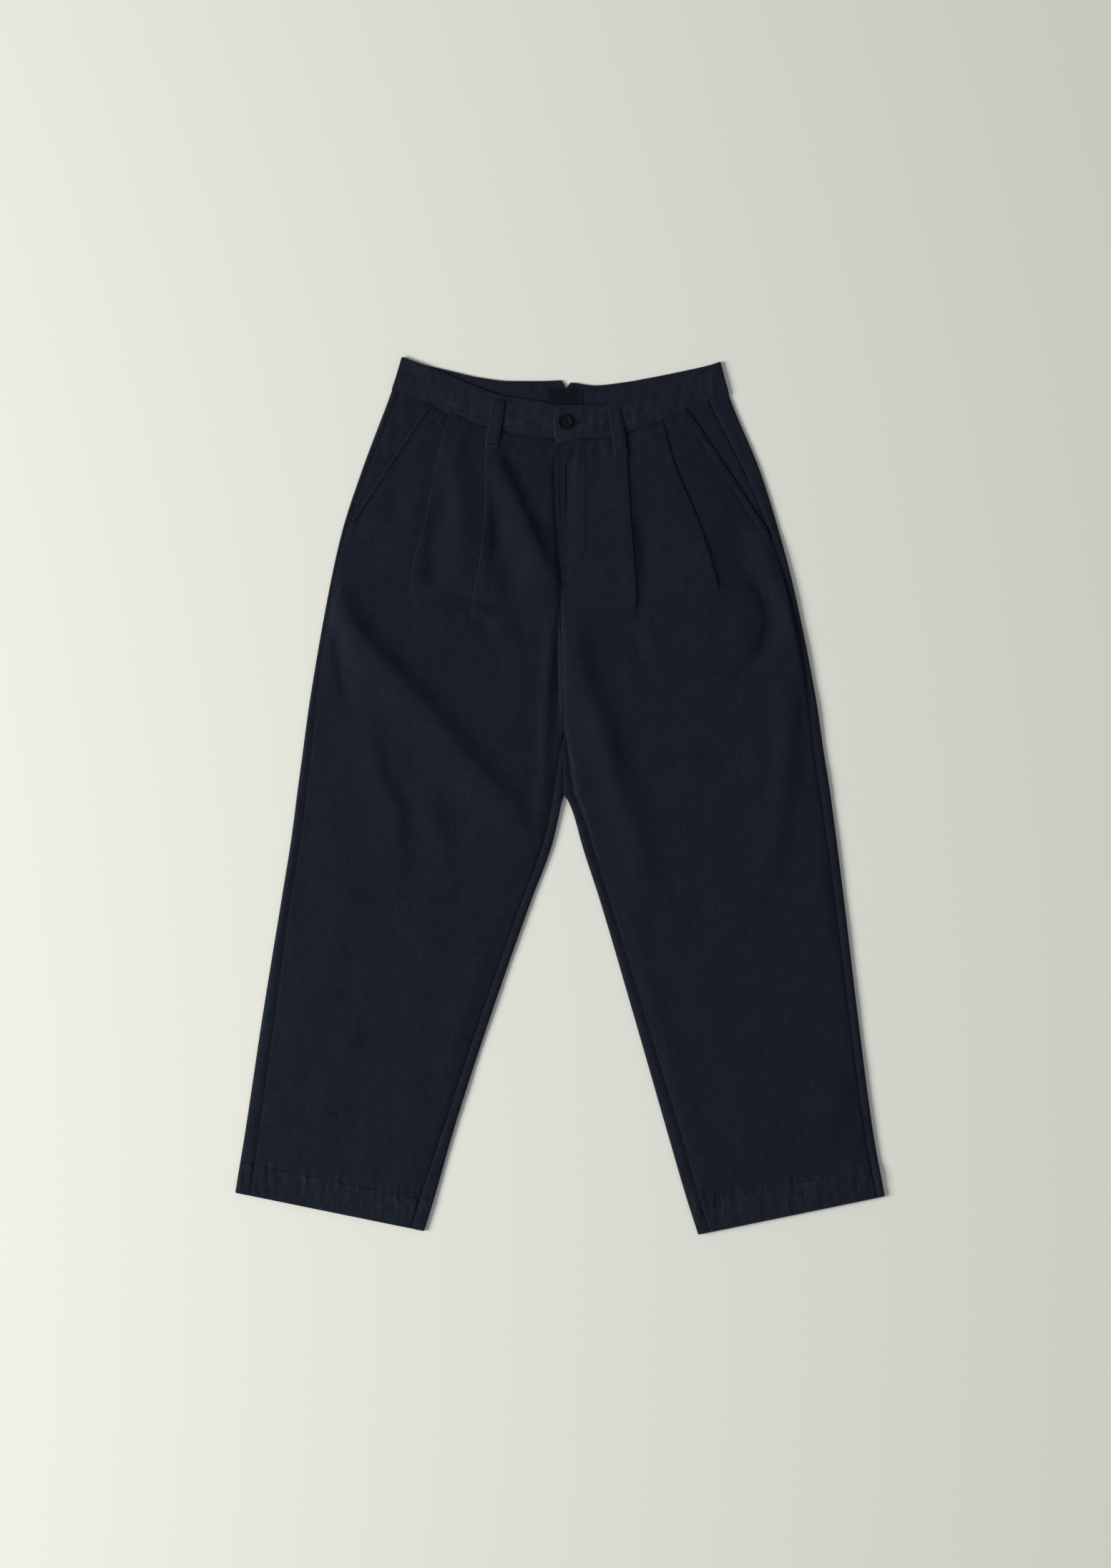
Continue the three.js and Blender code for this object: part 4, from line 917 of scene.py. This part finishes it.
def settled(piece, name):
    """A plain object with the shape that an object's modifiers give it. The first one goes."""
    depsgraph = bpy.context.evaluated_depsgraph_get()
    mesh = bpy.data.meshes.new_from_object(piece.evaluated_get(depsgraph))
    mesh.name = name
    made = in_scene(name, mesh)
    bpy.data.objects.remove(piece)
    return made


def waist_button():
    """A turned button with a rounded rim, a dished middle and four holes."""
    middle = np.array([BUTTON["x"], BUTTON["y"], BUTTON["seat"]])
    profile = [
        (0, 0), (6.3, 0), (7.1, 0.12), (7.75, 0.5), (8.15, 1.05), (8.3, 1.6), (8.2, 2.05), (7.9, 2.4),
        (7.45, 2.6), (6.95, 2.62), (6.5, 2.46), (6.15, 2.2), (5.8, 1.95), (5.3, 1.76), (4.4, 1.62),
        (3.2, 1.55), (1.6, 1.58), (0, 1.6),
    ]
    points, faces = turned(profile, 64)
    disc = mesh_piece("button_disc", points + middle, faces)
    drill_points, drill_faces = turned([(0, -1), (BUTTON["hole"], -1), (BUTTON["hole"], 4), (0, 4)], 20)
    reach = BUTTON["holes"]
    corners = [(reach, reach), (-reach, reach), (-reach, -reach), (reach, -reach)]
    drills = [drill_points + middle + (*corner, 0) for corner in corners]
    turns = [drill_faces + i * len(drill_points) for i in range(len(corners))]
    drill = mesh_piece("button_drill", np.concatenate(drills), np.concatenate(turns))
    holes = disc.modifiers.new("holes", "BOOLEAN")
    holes.operation = "DIFFERENCE"
    holes.solver = "EXACT"
    holes.object = drill
    made = settled(disc, "waist_button_resin")
    bpy.data.objects.remove(drill)
    made.data.set_sharp_from_angle(angle=math.radians(38))
    return made


def surface_of(piece):
    """A search tree of its faces, in metres."""
    points = [vertex.co.copy() for vertex in piece.data.vertices]
    return BVHTree.FromPolygons(points, [list(polygon.vertices) for polygon in piece.data.polygons])


def laid(route, surface, lift):
    """A route of (x, y) in millimetres laid on the surface seen from above: its points, and the
    surface's direction at each of them."""
    route = np.array(route, float)
    runs = np.concatenate([[0], np.cumsum(np.hypot(*np.diff(route, axis=0).T))])
    at = np.linspace(0, runs[-1], max(2, round(runs[-1]) + 1))
    points, ups = [], []
    for x, y in zip(np.interp(at, runs, route[:, 0]), np.interp(at, runs, route[:, 1])):
        place, up, _, _ = surface.ray_cast(Vector((x * MM, y * MM, ABOVE_ALL * MM)), Vector((0, 0, -1)))
        if place is not None:
            points.append(place + up * lift * MM)
            ups.append(up)
    return points, ups


def stitch_tree():
    """Stitches along the edges of a mesh of routes, standing along their up attribute."""
    tree, given, made = node_group(
        "Stitches", "GeometryNodeTree",
        [("Geometry", "Geometry", None), ("Pitch", "Float", 0.003), ("Length", "Float", 0.0024),
         ("Width", "Float", 0.0006), ("Height", "Float", 0.0005), ("Turn", "Float", 0.0),
         ("Waver", "Float", 0.08), ("Seed", "Int", SEED), ("Thread", "Material", None)],
        [("Geometry", "Geometry")],
    )
    curves = node(tree, "GeometryNodeMeshToCurve", {"Mesh": given["Geometry"]})
    spaced = node(
        tree, "GeometryNodeResampleCurve", {"Curve": curves.outputs["Curve"], "Length": given["Pitch"]},
        mode="LENGTH")
    along = node(tree, "GeometryNodeInputTangent")
    up = node(tree, "GeometryNodeInputNamedAttribute", {"Name": "up"}, data_type="FLOAT_VECTOR")
    ahead = node(
        tree, "FunctionNodeAlignRotationToVector", {"Vector": along.outputs["Tangent"]}, axis="X")
    upright = node(
        tree, "FunctionNodeAlignRotationToVector",
        {"Rotation": ahead.outputs["Rotation"], "Vector": up.outputs["Attribute"]},
        axis="Z", pivot_axis="X")
    lowest, highest = 2, 3    # sockets that share their names with those of other kinds of value
    waver = node(
        tree, "FunctionNodeRandomValue", {lowest: -1, highest: 1, "Seed": given["Seed"]},
        data_type="FLOAT")
    swing = calculate(tree, "MULTIPLY_ADD", waver.outputs[1], given["Waver"], given["Turn"])
    turn = node(tree, "FunctionNodeAxisAngleToRotation", {"Axis": (0, 0, 1), "Angle": swing})
    facing = node(
        tree, "FunctionNodeRotateRotation",
        {"Rotation": upright.outputs["Rotation"], "Rotate By": turn.outputs["Rotation"]},
        rotation_space="LOCAL")
    ball = node(tree, "GeometryNodeMeshUVSphere", {"Segments": 8, "Rings": 5, "Radius": 0.5})
    stitch = node(tree, "GeometryNodeSetShadeSmooth", {"Geometry": ball.outputs["Mesh"]})
    size = node(
        tree, "ShaderNodeCombineXYZ", {"X": given["Length"], "Y": given["Width"], "Z": given["Height"]})
    placed = node(tree, "GeometryNodeInstanceOnPoints", {
        "Points": spaced.outputs["Curve"], "Instance": stitch.outputs["Geometry"],
        "Rotation": facing.outputs["Rotation"], "Scale": size.outputs[0]})
    whole = node(tree, "GeometryNodeRealizeInstances", {"Geometry": placed.outputs["Instances"]})
    dyed = node(
        tree, "GeometryNodeSetMaterial", {"Geometry": whole.outputs["Geometry"], "Material": given["Thread"]})
    wire(tree, dyed.outputs["Geometry"], made["Geometry"])
    return tree


def stitched(name, tree, routes, surface, thread, lift, **values):
    """Stitches along routes of (x, y) laid on a surface, as one plain mesh."""
    points, ups, edges = [], [], []
    for route in routes:
        route_points, route_ups = laid(route, surface, lift)
        edges += [(i, i + 1) for i in range(len(points), len(points) + len(route_points) - 1)]
        points += route_points
        ups += route_ups
    mesh = bpy.data.meshes.new(name + "_routes")
    mesh.from_pydata(points, edges, [])
    layer = mesh.attributes.new("up", "FLOAT_VECTOR", "POINT")
    layer.data.foreach_set("vector", np.array(ups).ravel())
    piece = in_scene(name + "_routes", mesh)
    modifier = piece.modifiers.new("stitches", "NODES")
    modifier.node_group = tree
    values["Thread"] = thread
    for socket in tree.interface.items_tree:
        if socket.in_out == "INPUT" and socket.name in values:
            modifier[socket.identifier] = values[socket.name]
    made = settled(piece, name)
    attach(made, "root")
    return made


def front_seams(leg):
    """The stitching of a front: two lines beside the pocket mouth, and the hem."""
    side, mouth, out_at = leg["side"], leg["mouth"], mouth_line(leg)
    y = np.linspace(mouth["top_y"] - 6, mouth["end_y"] + 3, 40)
    hem = Rows(leg, np.array([leg["hem"]["inner_y"] + HEM_STITCHES]))
    out = np.linspace(hem.inner[0] + 2, hem.outer[0] - 2, 80)[None, :]
    mouths = [np.stack([side * (out_at(y) - inset), y], 1) for inset in MOUTH_STITCHES]
    return [*mouths, np.stack([side * out, hem.y_at(out)], -1)[0]]


def mouth_tack(leg):
    """The bar tack across the lower end of a pocket mouth."""
    side, mouth = leg["side"], leg["mouth"]
    return [(side * (mouth["end_out"] - inset), mouth["end_y"] + 3) for inset in (1, 9)]


def band_seams(leg):
    """The lines above the waist seam and, on the left, the one beside the lapped end."""
    side, end = leg["side"], leg["band"]["front_end"]
    waist = Rows(leg, np.array([float(leg["waist"]["front_y"])]))
    start = end["out"][-1] + 2.5 if leg["laps"] else -2.5
    out = np.linspace(start, waist.outer[0] - 1, 90)[None, :]
    lines = [np.stack([side * out, waist.y_at(out) + above], -1)[0] for above in BAND_STITCHES]
    if leg["laps"]:
        q = np.linspace(0, 1, 20)
        lines.append(np.stack([column(end, "q", "out")(q) + END_STITCH, mix(*END_SEAM_Y, q)], 1))
    return lines


def buttonhole():
    """The two dense rows of a buttonhole and the bar at its end, running out from the button."""
    (start, end), y, half = BUTTONHOLE["x"], BUTTONHOLE["y"], BUTTONHOLE["half"]
    rows = [[(start, y + side * half), (end, y + side * half)] for side in (-1, 1)]
    return [*rows, [(end + 0.6, y - half - 0.4), (end + 0.6, y + half + 0.4)]]


def loop_seams(leg):
    """The two lines of stitches along a belt loop."""
    _, length, _ = loop_frame(leg)
    return [
        [loop_place(leg, t * length, across) for t in (0.03, 0.97)]
        for across in (-LOOP["stitches"], LOOP["stitches"])
    ]


def loop_tacks(leg):
    """And the bar tack across each of its ends."""
    _, length, _ = loop_frame(leg)
    return [
        [loop_place(leg, t * length, across) for across in (-LOOP["tack"], LOOP["tack"])]
        for t in (0.045, 0.955)
    ]


def label_seams():
    """A line at each end of the label, down to where the front band covers it."""
    left, right = LABEL["x"]
    top = LABEL["y"][0] - 0.6
    return [[(x, top), (x, LABEL_SEAM_END)] for x in (left + LABEL_STITCH, right - LABEL_STITCH)]


def stack(x, y, z):
    """Three fields as one grid of points."""
    x, y, z = np.broadcast_arrays(x, y, z)
    return np.stack([x, y, z], -1).astype(float)


def shell(name, grid, wall, keep=None, wear=None):
    """A sheet of middle points given a wall, as a closed mesh. keep says which cells are cloth."""
    rows, columns = grid.shape[:2]
    keep = np.ones((rows - 1, columns - 1), bool) if keep is None else keep
    wall = np.broadcast_to(wall, (rows, columns))
    a, b, c, d = grid[:-1, :-1], grid[:-1, 1:], grid[1:, 1:], grid[1:, :-1]
    normal = np.cross(b - a + c - d, d - a + c - b)
    normal /= np.maximum(np.linalg.norm(normal, axis=2, keepdims=True), 1e-9)
    normal *= keep[..., None]
    total = np.zeros_like(grid)
    for down, right in ((0, 0), (0, 1), (1, 0), (1, 1)):
        total[down : rows - 1 + down, right : columns - 1 + right] += normal
    total /= np.maximum(np.linalg.norm(total, axis=2, keepdims=True), 1e-9)
    offset = total * wall[..., None] / 2
    points = np.concatenate([(grid + offset).reshape(-1, 3), (grid - offset).reshape(-1, 3)])
    index = np.arange(rows * columns).reshape(rows, columns)
    cells = np.stack([index[:-1, :-1], index[:-1, 1:], index[1:, 1:], index[1:, :-1]], -1)
    near = cells[keep]
    far = near[:, ::-1] + rows * columns
    padded = np.pad(keep, 1)
    rims = []
    for edge, (dr, dc) in enumerate(((-1, 0), (0, 1), (1, 0), (0, -1))):
        neighbour = padded[1 + dr : rows + dr, 1 + dc : columns + dc]
        bare = cells[keep & ~neighbour]
        start, end = bare[:, edge], bare[:, (edge + 1) % 4]
        rims.append(np.stack([end, start, start + rows * columns, end + rows * columns], -1))
    faces = np.concatenate([near, far, *rims])
    across = np.linalg.norm(np.diff(grid, axis=1), axis=2)
    down = np.linalg.norm(np.diff(grid, axis=0), axis=2).mean(1)
    u = np.pad(np.cumsum(across, 1), ((0, 0), (1, 0)))
    v = np.broadcast_to(np.pad(np.cumsum(down), (1, 0))[:, None], u.shape)
    uv = np.tile(np.stack([u, v], -1).reshape(-1, 2), (2, 1))
    wear = np.zeros((rows, columns)) if wear is None else np.broadcast_to(wear, (rows, columns))
    return mesh_piece(name, points, faces, uv, np.tile(wear.ravel(), 2))


def mesh_piece(name, points, faces, uv=None, wear=None):
    """A mesh object from points in millimetres, with only the points that its faces use."""
    used, places = np.unique(faces, return_inverse=True)
    faces = places.reshape(faces.shape)
    mesh = bpy.data.meshes.new(name)
    mesh.from_pydata((points[used] * MM).tolist(), [], faces.tolist())
    mesh.polygons.foreach_set("use_smooth", [True] * len(mesh.polygons))
    if uv is not None:
        layer = mesh.uv_layers.new(name="Cloth")
        corners = np.zeros(len(mesh.loops), int)
        mesh.loops.foreach_get("vertex_index", corners)
        layer.data.foreach_set("uv", (uv[used] * MM)[corners].ravel())
    if wear is not None:
        # Above zero the cloth is paler where rubbed, partly as a painted highlight on lit pleat edges; below
        # zero it takes painted shade in seam ditches
        rubbed_and_painted = mesh.attributes.new("wear", "FLOAT", "POINT")
        rubbed_and_painted.data.foreach_set("value", np.clip(wear[used], -1, 1).astype(np.float32))
    mesh.update()
    return in_scene(name, mesh)


def finished(piece, material, replaced):
    """A piece with its material, on the only body, in place of a node."""
    piece.data.materials.append(material)
    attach(piece, "root")
    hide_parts(replaced)
    return piece


NODE_STEP = 220       # nodes are laid out in rows, that far apart
NODES_IN_ROW = 8


def node(tree, kind, inputs=None, **settings):
    """A node with its settings, and its inputs joined to other sockets or set to values."""
    count = len(tree.nodes)
    made = tree.nodes.new(kind)
    made.location = NODE_STEP * (count % NODES_IN_ROW), -NODE_STEP * (count // NODES_IN_ROW)
    for name, value in settings.items():
        setattr(made, name, value)
    for name, value in (inputs or {}).items():
        wire(tree, value, made.inputs[name])
    return made


def wire(tree, value, socket):
    """Joins a socket to another one, or sets its value."""
    if isinstance(value, bpy.types.NodeSocket):
        tree.links.new(value, socket)
    else:
        socket.default_value = value


def calculate(tree, operation, *values):
    """The result of one step of arithmetic on sockets or numbers."""
    return node(tree, "ShaderNodeMath", dict(enumerate(values)), operation=operation).outputs[0]


def noise(tree, vector, scale, detail):
    """Noise round zero, from about -0.5 to 0.5."""
    made = node(tree, "ShaderNodeTexNoise", {"Vector": vector, "Scale": scale, "Detail": detail})
    return calculate(tree, "SUBTRACT", made.outputs["Fac"], 0.5)


def node_group(name, kind, inputs, outputs):
    """A node group with named sockets: its tree, and the sockets to read from and to join."""
    tree = bpy.data.node_groups.new(name, kind)
    for label, socket_kind, value in inputs:
        socket = tree.interface.new_socket(
            name=label, in_out="INPUT", socket_type=f"NodeSocket{socket_kind}")
        if value is not None:
            socket.default_value = value
    for label, socket_kind in outputs:
        tree.interface.new_socket(name=label, in_out="OUTPUT", socket_type=f"NodeSocket{socket_kind}")
    return tree, node(tree, "NodeGroupInput").outputs, node(tree, "NodeGroupOutput").inputs


def weave_group():
    """The height of a twill: slanting ribs of yarns, and the yarns themselves."""
    tree, given, made = node_group(
        "Twill weave", "ShaderNodeTree",
        [("Vector", "Vector", None), ("Rib", "Float", 0.0013), ("Yarn", "Float", 0.0006)],
        [("Height", "Float")],
    )
    parts = node(tree, "ShaderNodeSeparateXYZ", {0: given["Vector"]})
    u, v = parts.outputs["X"], parts.outputs["Y"]
    waver = noise(tree, given["Vector"], 260, 2)

    def waves(along, pitch):
        turns = calculate(tree, "ADD", calculate(tree, "DIVIDE", along, pitch), waver)
        return calculate(tree, "SINE", calculate(tree, "MULTIPLY", turns, 2 * math.pi))

    ribs = waves(calculate(tree, "ADD", u, calculate(tree, "MULTIPLY", v, 0.85)), given["Rib"])
    yarns = calculate(tree, "MULTIPLY", waves(u, given["Yarn"]), 0.35)
    wire(tree, calculate(tree, "ADD", ribs, yarns), made["Height"])
    return tree


def wash_group():
    """The tone of washed cloth: clouds, slubs along the warp and a fine mottle. It is paler where
    the cloth is rubbed, partly a painted highlight on lit pleat edges, and darker as painted shade
    in the ditches of seams and stitching, where the channel is below zero. Grain is the same
    unevenness, as a height."""
    tree, given, made = node_group(
        "Washed tone", "ShaderNodeTree",
        [("Color", "Color", (0.01, 0.013, 0.022, 1)), ("Rubbed And Highlight Color", "Color", (0.03, 0.038, 0.06, 1)),
         ("Vector", "Vector", None), ("Wear", "Float", 0.0), ("Slub", "Float", 1.0)],
        [("Color", "Color"), ("Grain", "Float")],
    )
    vector = given["Vector"]
    stretched = node(tree, "ShaderNodeMapping", {
        "Vector": vector, "Scale": (1 / 0.0015, 1 / 0.034, 1 / 0.034)})
    clouds, coarse = noise(tree, vector, 30, 3), noise(tree, vector, 130, 2)
    mottle = noise(tree, vector, 420, 4)
    slubs = calculate(tree, "MULTIPLY", noise(tree, stretched.outputs["Vector"], 1, 3), given["Slub"])
    # Painted shade: the tone darkens where the channel is below zero, in the ditches of seams and stitching
    painted_ditch_shade = calculate(tree, "MINIMUM", given["Wear"], 0.0)
    tone = 1.0
    for part, share in ((clouds, 0.45), (slubs, 0.6), (mottle, 0.7), (coarse, 0.5), (painted_ditch_shade, 0.55)):
        tone = calculate(tree, "MULTIPLY_ADD", part, share, tone)
    patchy = calculate(tree, "MULTIPLY_ADD", coarse, 1.6, 0.75)
    rubbed_and_painted = calculate(tree, "MULTIPLY", calculate(tree, "MAXIMUM", given["Wear"], 0.0), patchy)
    blend = node(tree, "ShaderNodeMix", {
        "Factor": rubbed_and_painted, "A": given["Color"], "B": given["Rubbed And Highlight Color"]}, data_type="RGBA")
    toned = node(tree, "ShaderNodeHueSaturation", {"Value": tone, "Color": blend.outputs["Result"]})
    wire(tree, toned.outputs["Color"], made["Color"])
    wire(tree, calculate(tree, "ADD", slubs, mottle), made["Grain"])
    return tree


def new_material(name, roughness, specular):
    """A material, its tree and its Principled shader."""
    material = bpy.data.materials.new(name)
    material.use_nodes = True
    shader = material.node_tree.nodes["Principled BSDF"]
    shader.inputs["Roughness"].default_value = roughness
    shader.inputs["Specular IOR Level"].default_value = specular
    return material, material.node_tree, shader


def bumped(tree, shader, height, distance):
    """Relief from a height, in metres."""
    bump = node(tree, "ShaderNodeBump", {"Distance": distance, "Strength": 1.0, "Height": height})
    wire(tree, bump.outputs["Normal"], shader.inputs["Normal"])


def placed_group(tree, group, inputs):
    """The outputs of a group that stands in a tree."""
    return node(tree, "ShaderNodeGroup", inputs, node_tree=group).outputs


def cloth_material(name, color, rubbed_and_painted, weave, wash, rib, roughness, specular, relief):
    """Woven cloth on the Cloth map, paler where its attribute is above zero, rubbed and partly a
    painted highlight, and darker as painted shade where it is below zero.
    """
    material, tree, shader = new_material(name, roughness, specular)
    where = node(tree, "ShaderNodeUVMap", uv_map="Cloth").outputs["UV"]
    wear = node(tree, "ShaderNodeAttribute", attribute_name="wear").outputs["Fac"]
    threads = placed_group(tree, weave, {"Vector": where, "Rib": rib})
    tones = placed_group(
        tree, wash, {"Vector": where, "Wear": wear, "Color": (*color, 1), "Rubbed And Highlight Color": (*rubbed_and_painted, 1)})
    wire(tree, tones["Color"], shader.inputs["Base Color"])
    bumped(tree, shader, calculate(tree, "MULTIPLY_ADD", tones["Grain"], 2.2, threads["Height"]), relief)
    return material


def thread_material(name, color, wash):
    """Sewing thread, with the tone of the cloth round it."""
    material, tree, shader = new_material(name, 0.8, 0.1)
    where = node(tree, "ShaderNodeTexCoord").outputs["Object"]
    tones = placed_group(tree, wash, {"Vector": where, "Slub": 0.2, "Color": (*color, 1)})
    wire(tree, tones["Color"], shader.inputs["Base Color"])
    bumped(tree, shader, tones["Grain"], 0.0001)
    return material


def button_material():
    """Dark moulded resin, faintly clouded and rubbed."""
    material, tree, shader = new_material("dark resin", 0.6, 0.06)
    where = node(tree, "ShaderNodeTexCoord").outputs["Object"]
    clouds = calculate(tree, "ADD", noise(tree, where, 220, 4), 0.5)
    scuffs = noise(tree, where, 900, 3)
    blend = node(tree, "ShaderNodeMix", {
        "Factor": clouds, "A": (0.003, 0.0042, 0.0062, 1), "B": (0.0062, 0.0082, 0.0118, 1)},
        data_type="RGBA")
    wire(tree, blend.outputs["Result"], shader.inputs["Base Color"])
    wire(tree, calculate(tree, "MULTIPLY_ADD", scuffs, 0.3, 0.6), shader.inputs["Roughness"])
    bumped(tree, shader, scuffs, 0.00004)
    return material


def in_scene(name, data):
    """An object of its own in the scene, for some data."""
    made = bpy.data.objects.new(name, data)
    bpy.context.scene.collection.objects.link(made)
    return made


def camera():
    """Straight above, with the photograph's frame: 1242 mm by 1754 mm round (-5, 13.6)."""
    height, frame_height = 3.2, 1.754
    data = bpy.data.cameras.new("camera")
    data.sensor_width = 36
    data.lens = data.sensor_width * height / frame_height
    data.clip_end = 20
    made = in_scene("camera", data)
    made.location = (-0.005, 0.0136, height)
    bpy.context.scene.camera = made


def studio():
    """A pale floor under soft daylight that comes in low from the left."""
    half = 6
    mesh = bpy.data.meshes.new("floor")
    mesh.from_pydata(
        [(-half, -half, 0), (half, -half, 0), (half, half, 0), (-half, half, 0)], [], [(0, 1, 2, 3)])
    floor = in_scene("floor", mesh)
    floor.location.z = -0.0002
    material, _, shader = new_material("pale floor", 0.9, 0.1)
    shader.inputs["Base Color"].default_value = (0.845, 0.85, 0.775, 1)
    mesh.materials.append(material)

    data = bpy.data.lights.new("window", "AREA")
    data.shape = "SQUARE"
    data.size = 2.1
    data.energy = 350
    data.color = (1, 0.985, 0.96)
    window = in_scene("window", data)
    window.location = (-4.7, -0.6, 2.55)
    window.rotation_euler = (-window.location).to_track_quat("-Z", "Y").to_euler()

    world = bpy.data.worlds.new("soft light")
    world.use_nodes = True
    sky = world.node_tree.nodes["Background"]
    sky.inputs["Color"].default_value = (0.93, 0.96, 1, 1)
    sky.inputs["Strength"].default_value = 0.31
    bpy.context.scene.world = world
    bpy.context.scene.view_settings.view_transform = "Standard"


WEAVE, WASH = weave_group(), wash_group()
TWILL = cloth_material(
    "navy twill", (0.0104, 0.0136, 0.0228), (0.023, 0.0295, 0.047), WEAVE, WASH, 0.0011, 0.9, 0.1, 0.00011)
LABEL_CLOTH = cloth_material(
    "label damask", (0.0068, 0.0102, 0.0150), (0.02, 0.026, 0.038), WEAVE, WASH, 0.0007, 0.9, 0.05, 0.00006)
THREAD = thread_material("sewing thread", (0.0125, 0.016, 0.0265), WASH)
# Much darker thread for the fly's curved stitching: painted shade of its groove
PAINTED_SHADE_THREAD = thread_material("painted shade thread", (0.0055, 0.0072, 0.0125), WASH)
RESIN = button_material()

# Kinds of stitch: the thread, its height over the cloth in millimetres, and the tree's inputs
TOPSTITCH = dict(
    thread=THREAD, lift=0.1, Pitch=2.9 * MM, Length=2.5 * MM, Width=0.62 * MM, Height=0.55 * MM)
# The fly's stitching, in the darkened thread that paints the shade of its groove
FLY_STITCH = dict(
    thread=PAINTED_SHADE_THREAD, lift=0.05, Pitch=2.7 * MM, Length=2.6 * MM, Width=0.9 * MM, Height=0.4 * MM)
BAR_TACK = dict(
    thread=THREAD, lift=0.15, Pitch=0.5 * MM, Length=2.1 * MM, Width=0.5 * MM, Height=0.6 * MM,
    Turn=math.pi / 2)
BUTTON_THREAD = dict(
    thread=THREAD, lift=0.2, Pitch=0.44 * MM, Length=3.9 * MM, Width=0.5 * MM, Height=0.7 * MM,
    Turn=math.pi / 2)


def make_cloth():
    """Every cloth piece, under the name of the node that it replaces."""
    made = {}
    for leg in (RIGHT, LEFT):
        for kind, make in (
            ("front_leg", front_panel), ("back_leg", back_panel), ("pocket_facing", pocket_facing),
            ("waistband", waistband), ("belt_loop", belt_loop),
        ):
            replaced = f"{kind}_{leg['name']}"
            made[replaced] = finished(make(leg), TWILL, replaced)
    made["waist_label"] = finished(waist_label(), LABEL_CLOTH, "waist_label")
    return made


def sewing():
    """Every kind of stitches: the piece it is on, its name, its stitch and its routes."""
    fly_y = np.linspace(*FLY_SEAM_Y, 90)
    fly_line = np.stack([column(FLY_STITCHING, "y", "x")(fly_y), fly_y], 1)
    rows = [
        ("front_leg_left", "fly_stitching", FLY_STITCH, [fly_line, [(1.2, 238.8), (12.4, 240.6)]]),
        ("front_leg_left", "fly_tack", BAR_TACK, [[(1, 237.8), (6, 238.4)]]),
        ("waistband_left", "buttonhole", BAR_TACK, buttonhole()),
        ("waist_label", "topstitching", TOPSTITCH, label_seams()),
    ]
    for leg in (RIGHT, LEFT):
        name = leg["name"]
        rows += [
            (f"front_leg_{name}", "topstitching", TOPSTITCH, front_seams(leg)),
            (f"front_leg_{name}", "bar_tack", BAR_TACK, [mouth_tack(leg)]),
            (f"waistband_{name}", "topstitching", TOPSTITCH, band_seams(leg)),
            (f"belt_loop_{name}", "topstitching", TOPSTITCH, loop_seams(leg)),
            (f"belt_loop_{name}", "bar_tacks", BAR_TACK, loop_tacks(leg)),
        ]
    return rows


def button_strands():
    """A short route across each pair of the button's holes."""
    x, y, reach = BUTTON["x"], BUTTON["y"], BUTTON["holes"]
    return [[(x + hole - 0.45, y), (x + hole + 0.45, y)] for hole in (-reach, reach)]


cloth = make_cloth()
button = finished(waist_button(), RESIN, "waist_button")
stitches = stitch_tree()
sewn = {host: [] for host in cloth}
for host, kind, stitch, routes in sewing():
    sewn[host].append(stitched(f"{host}_{kind}", stitches, routes, surface_of(cloth[host]), **stitch))
button_thread = stitched(
    "button_thread", stitches, button_strands(), surface_of(button), **BUTTON_THREAD)
sewn["waistband_left"] += [button, button_thread]

camera()
studio()
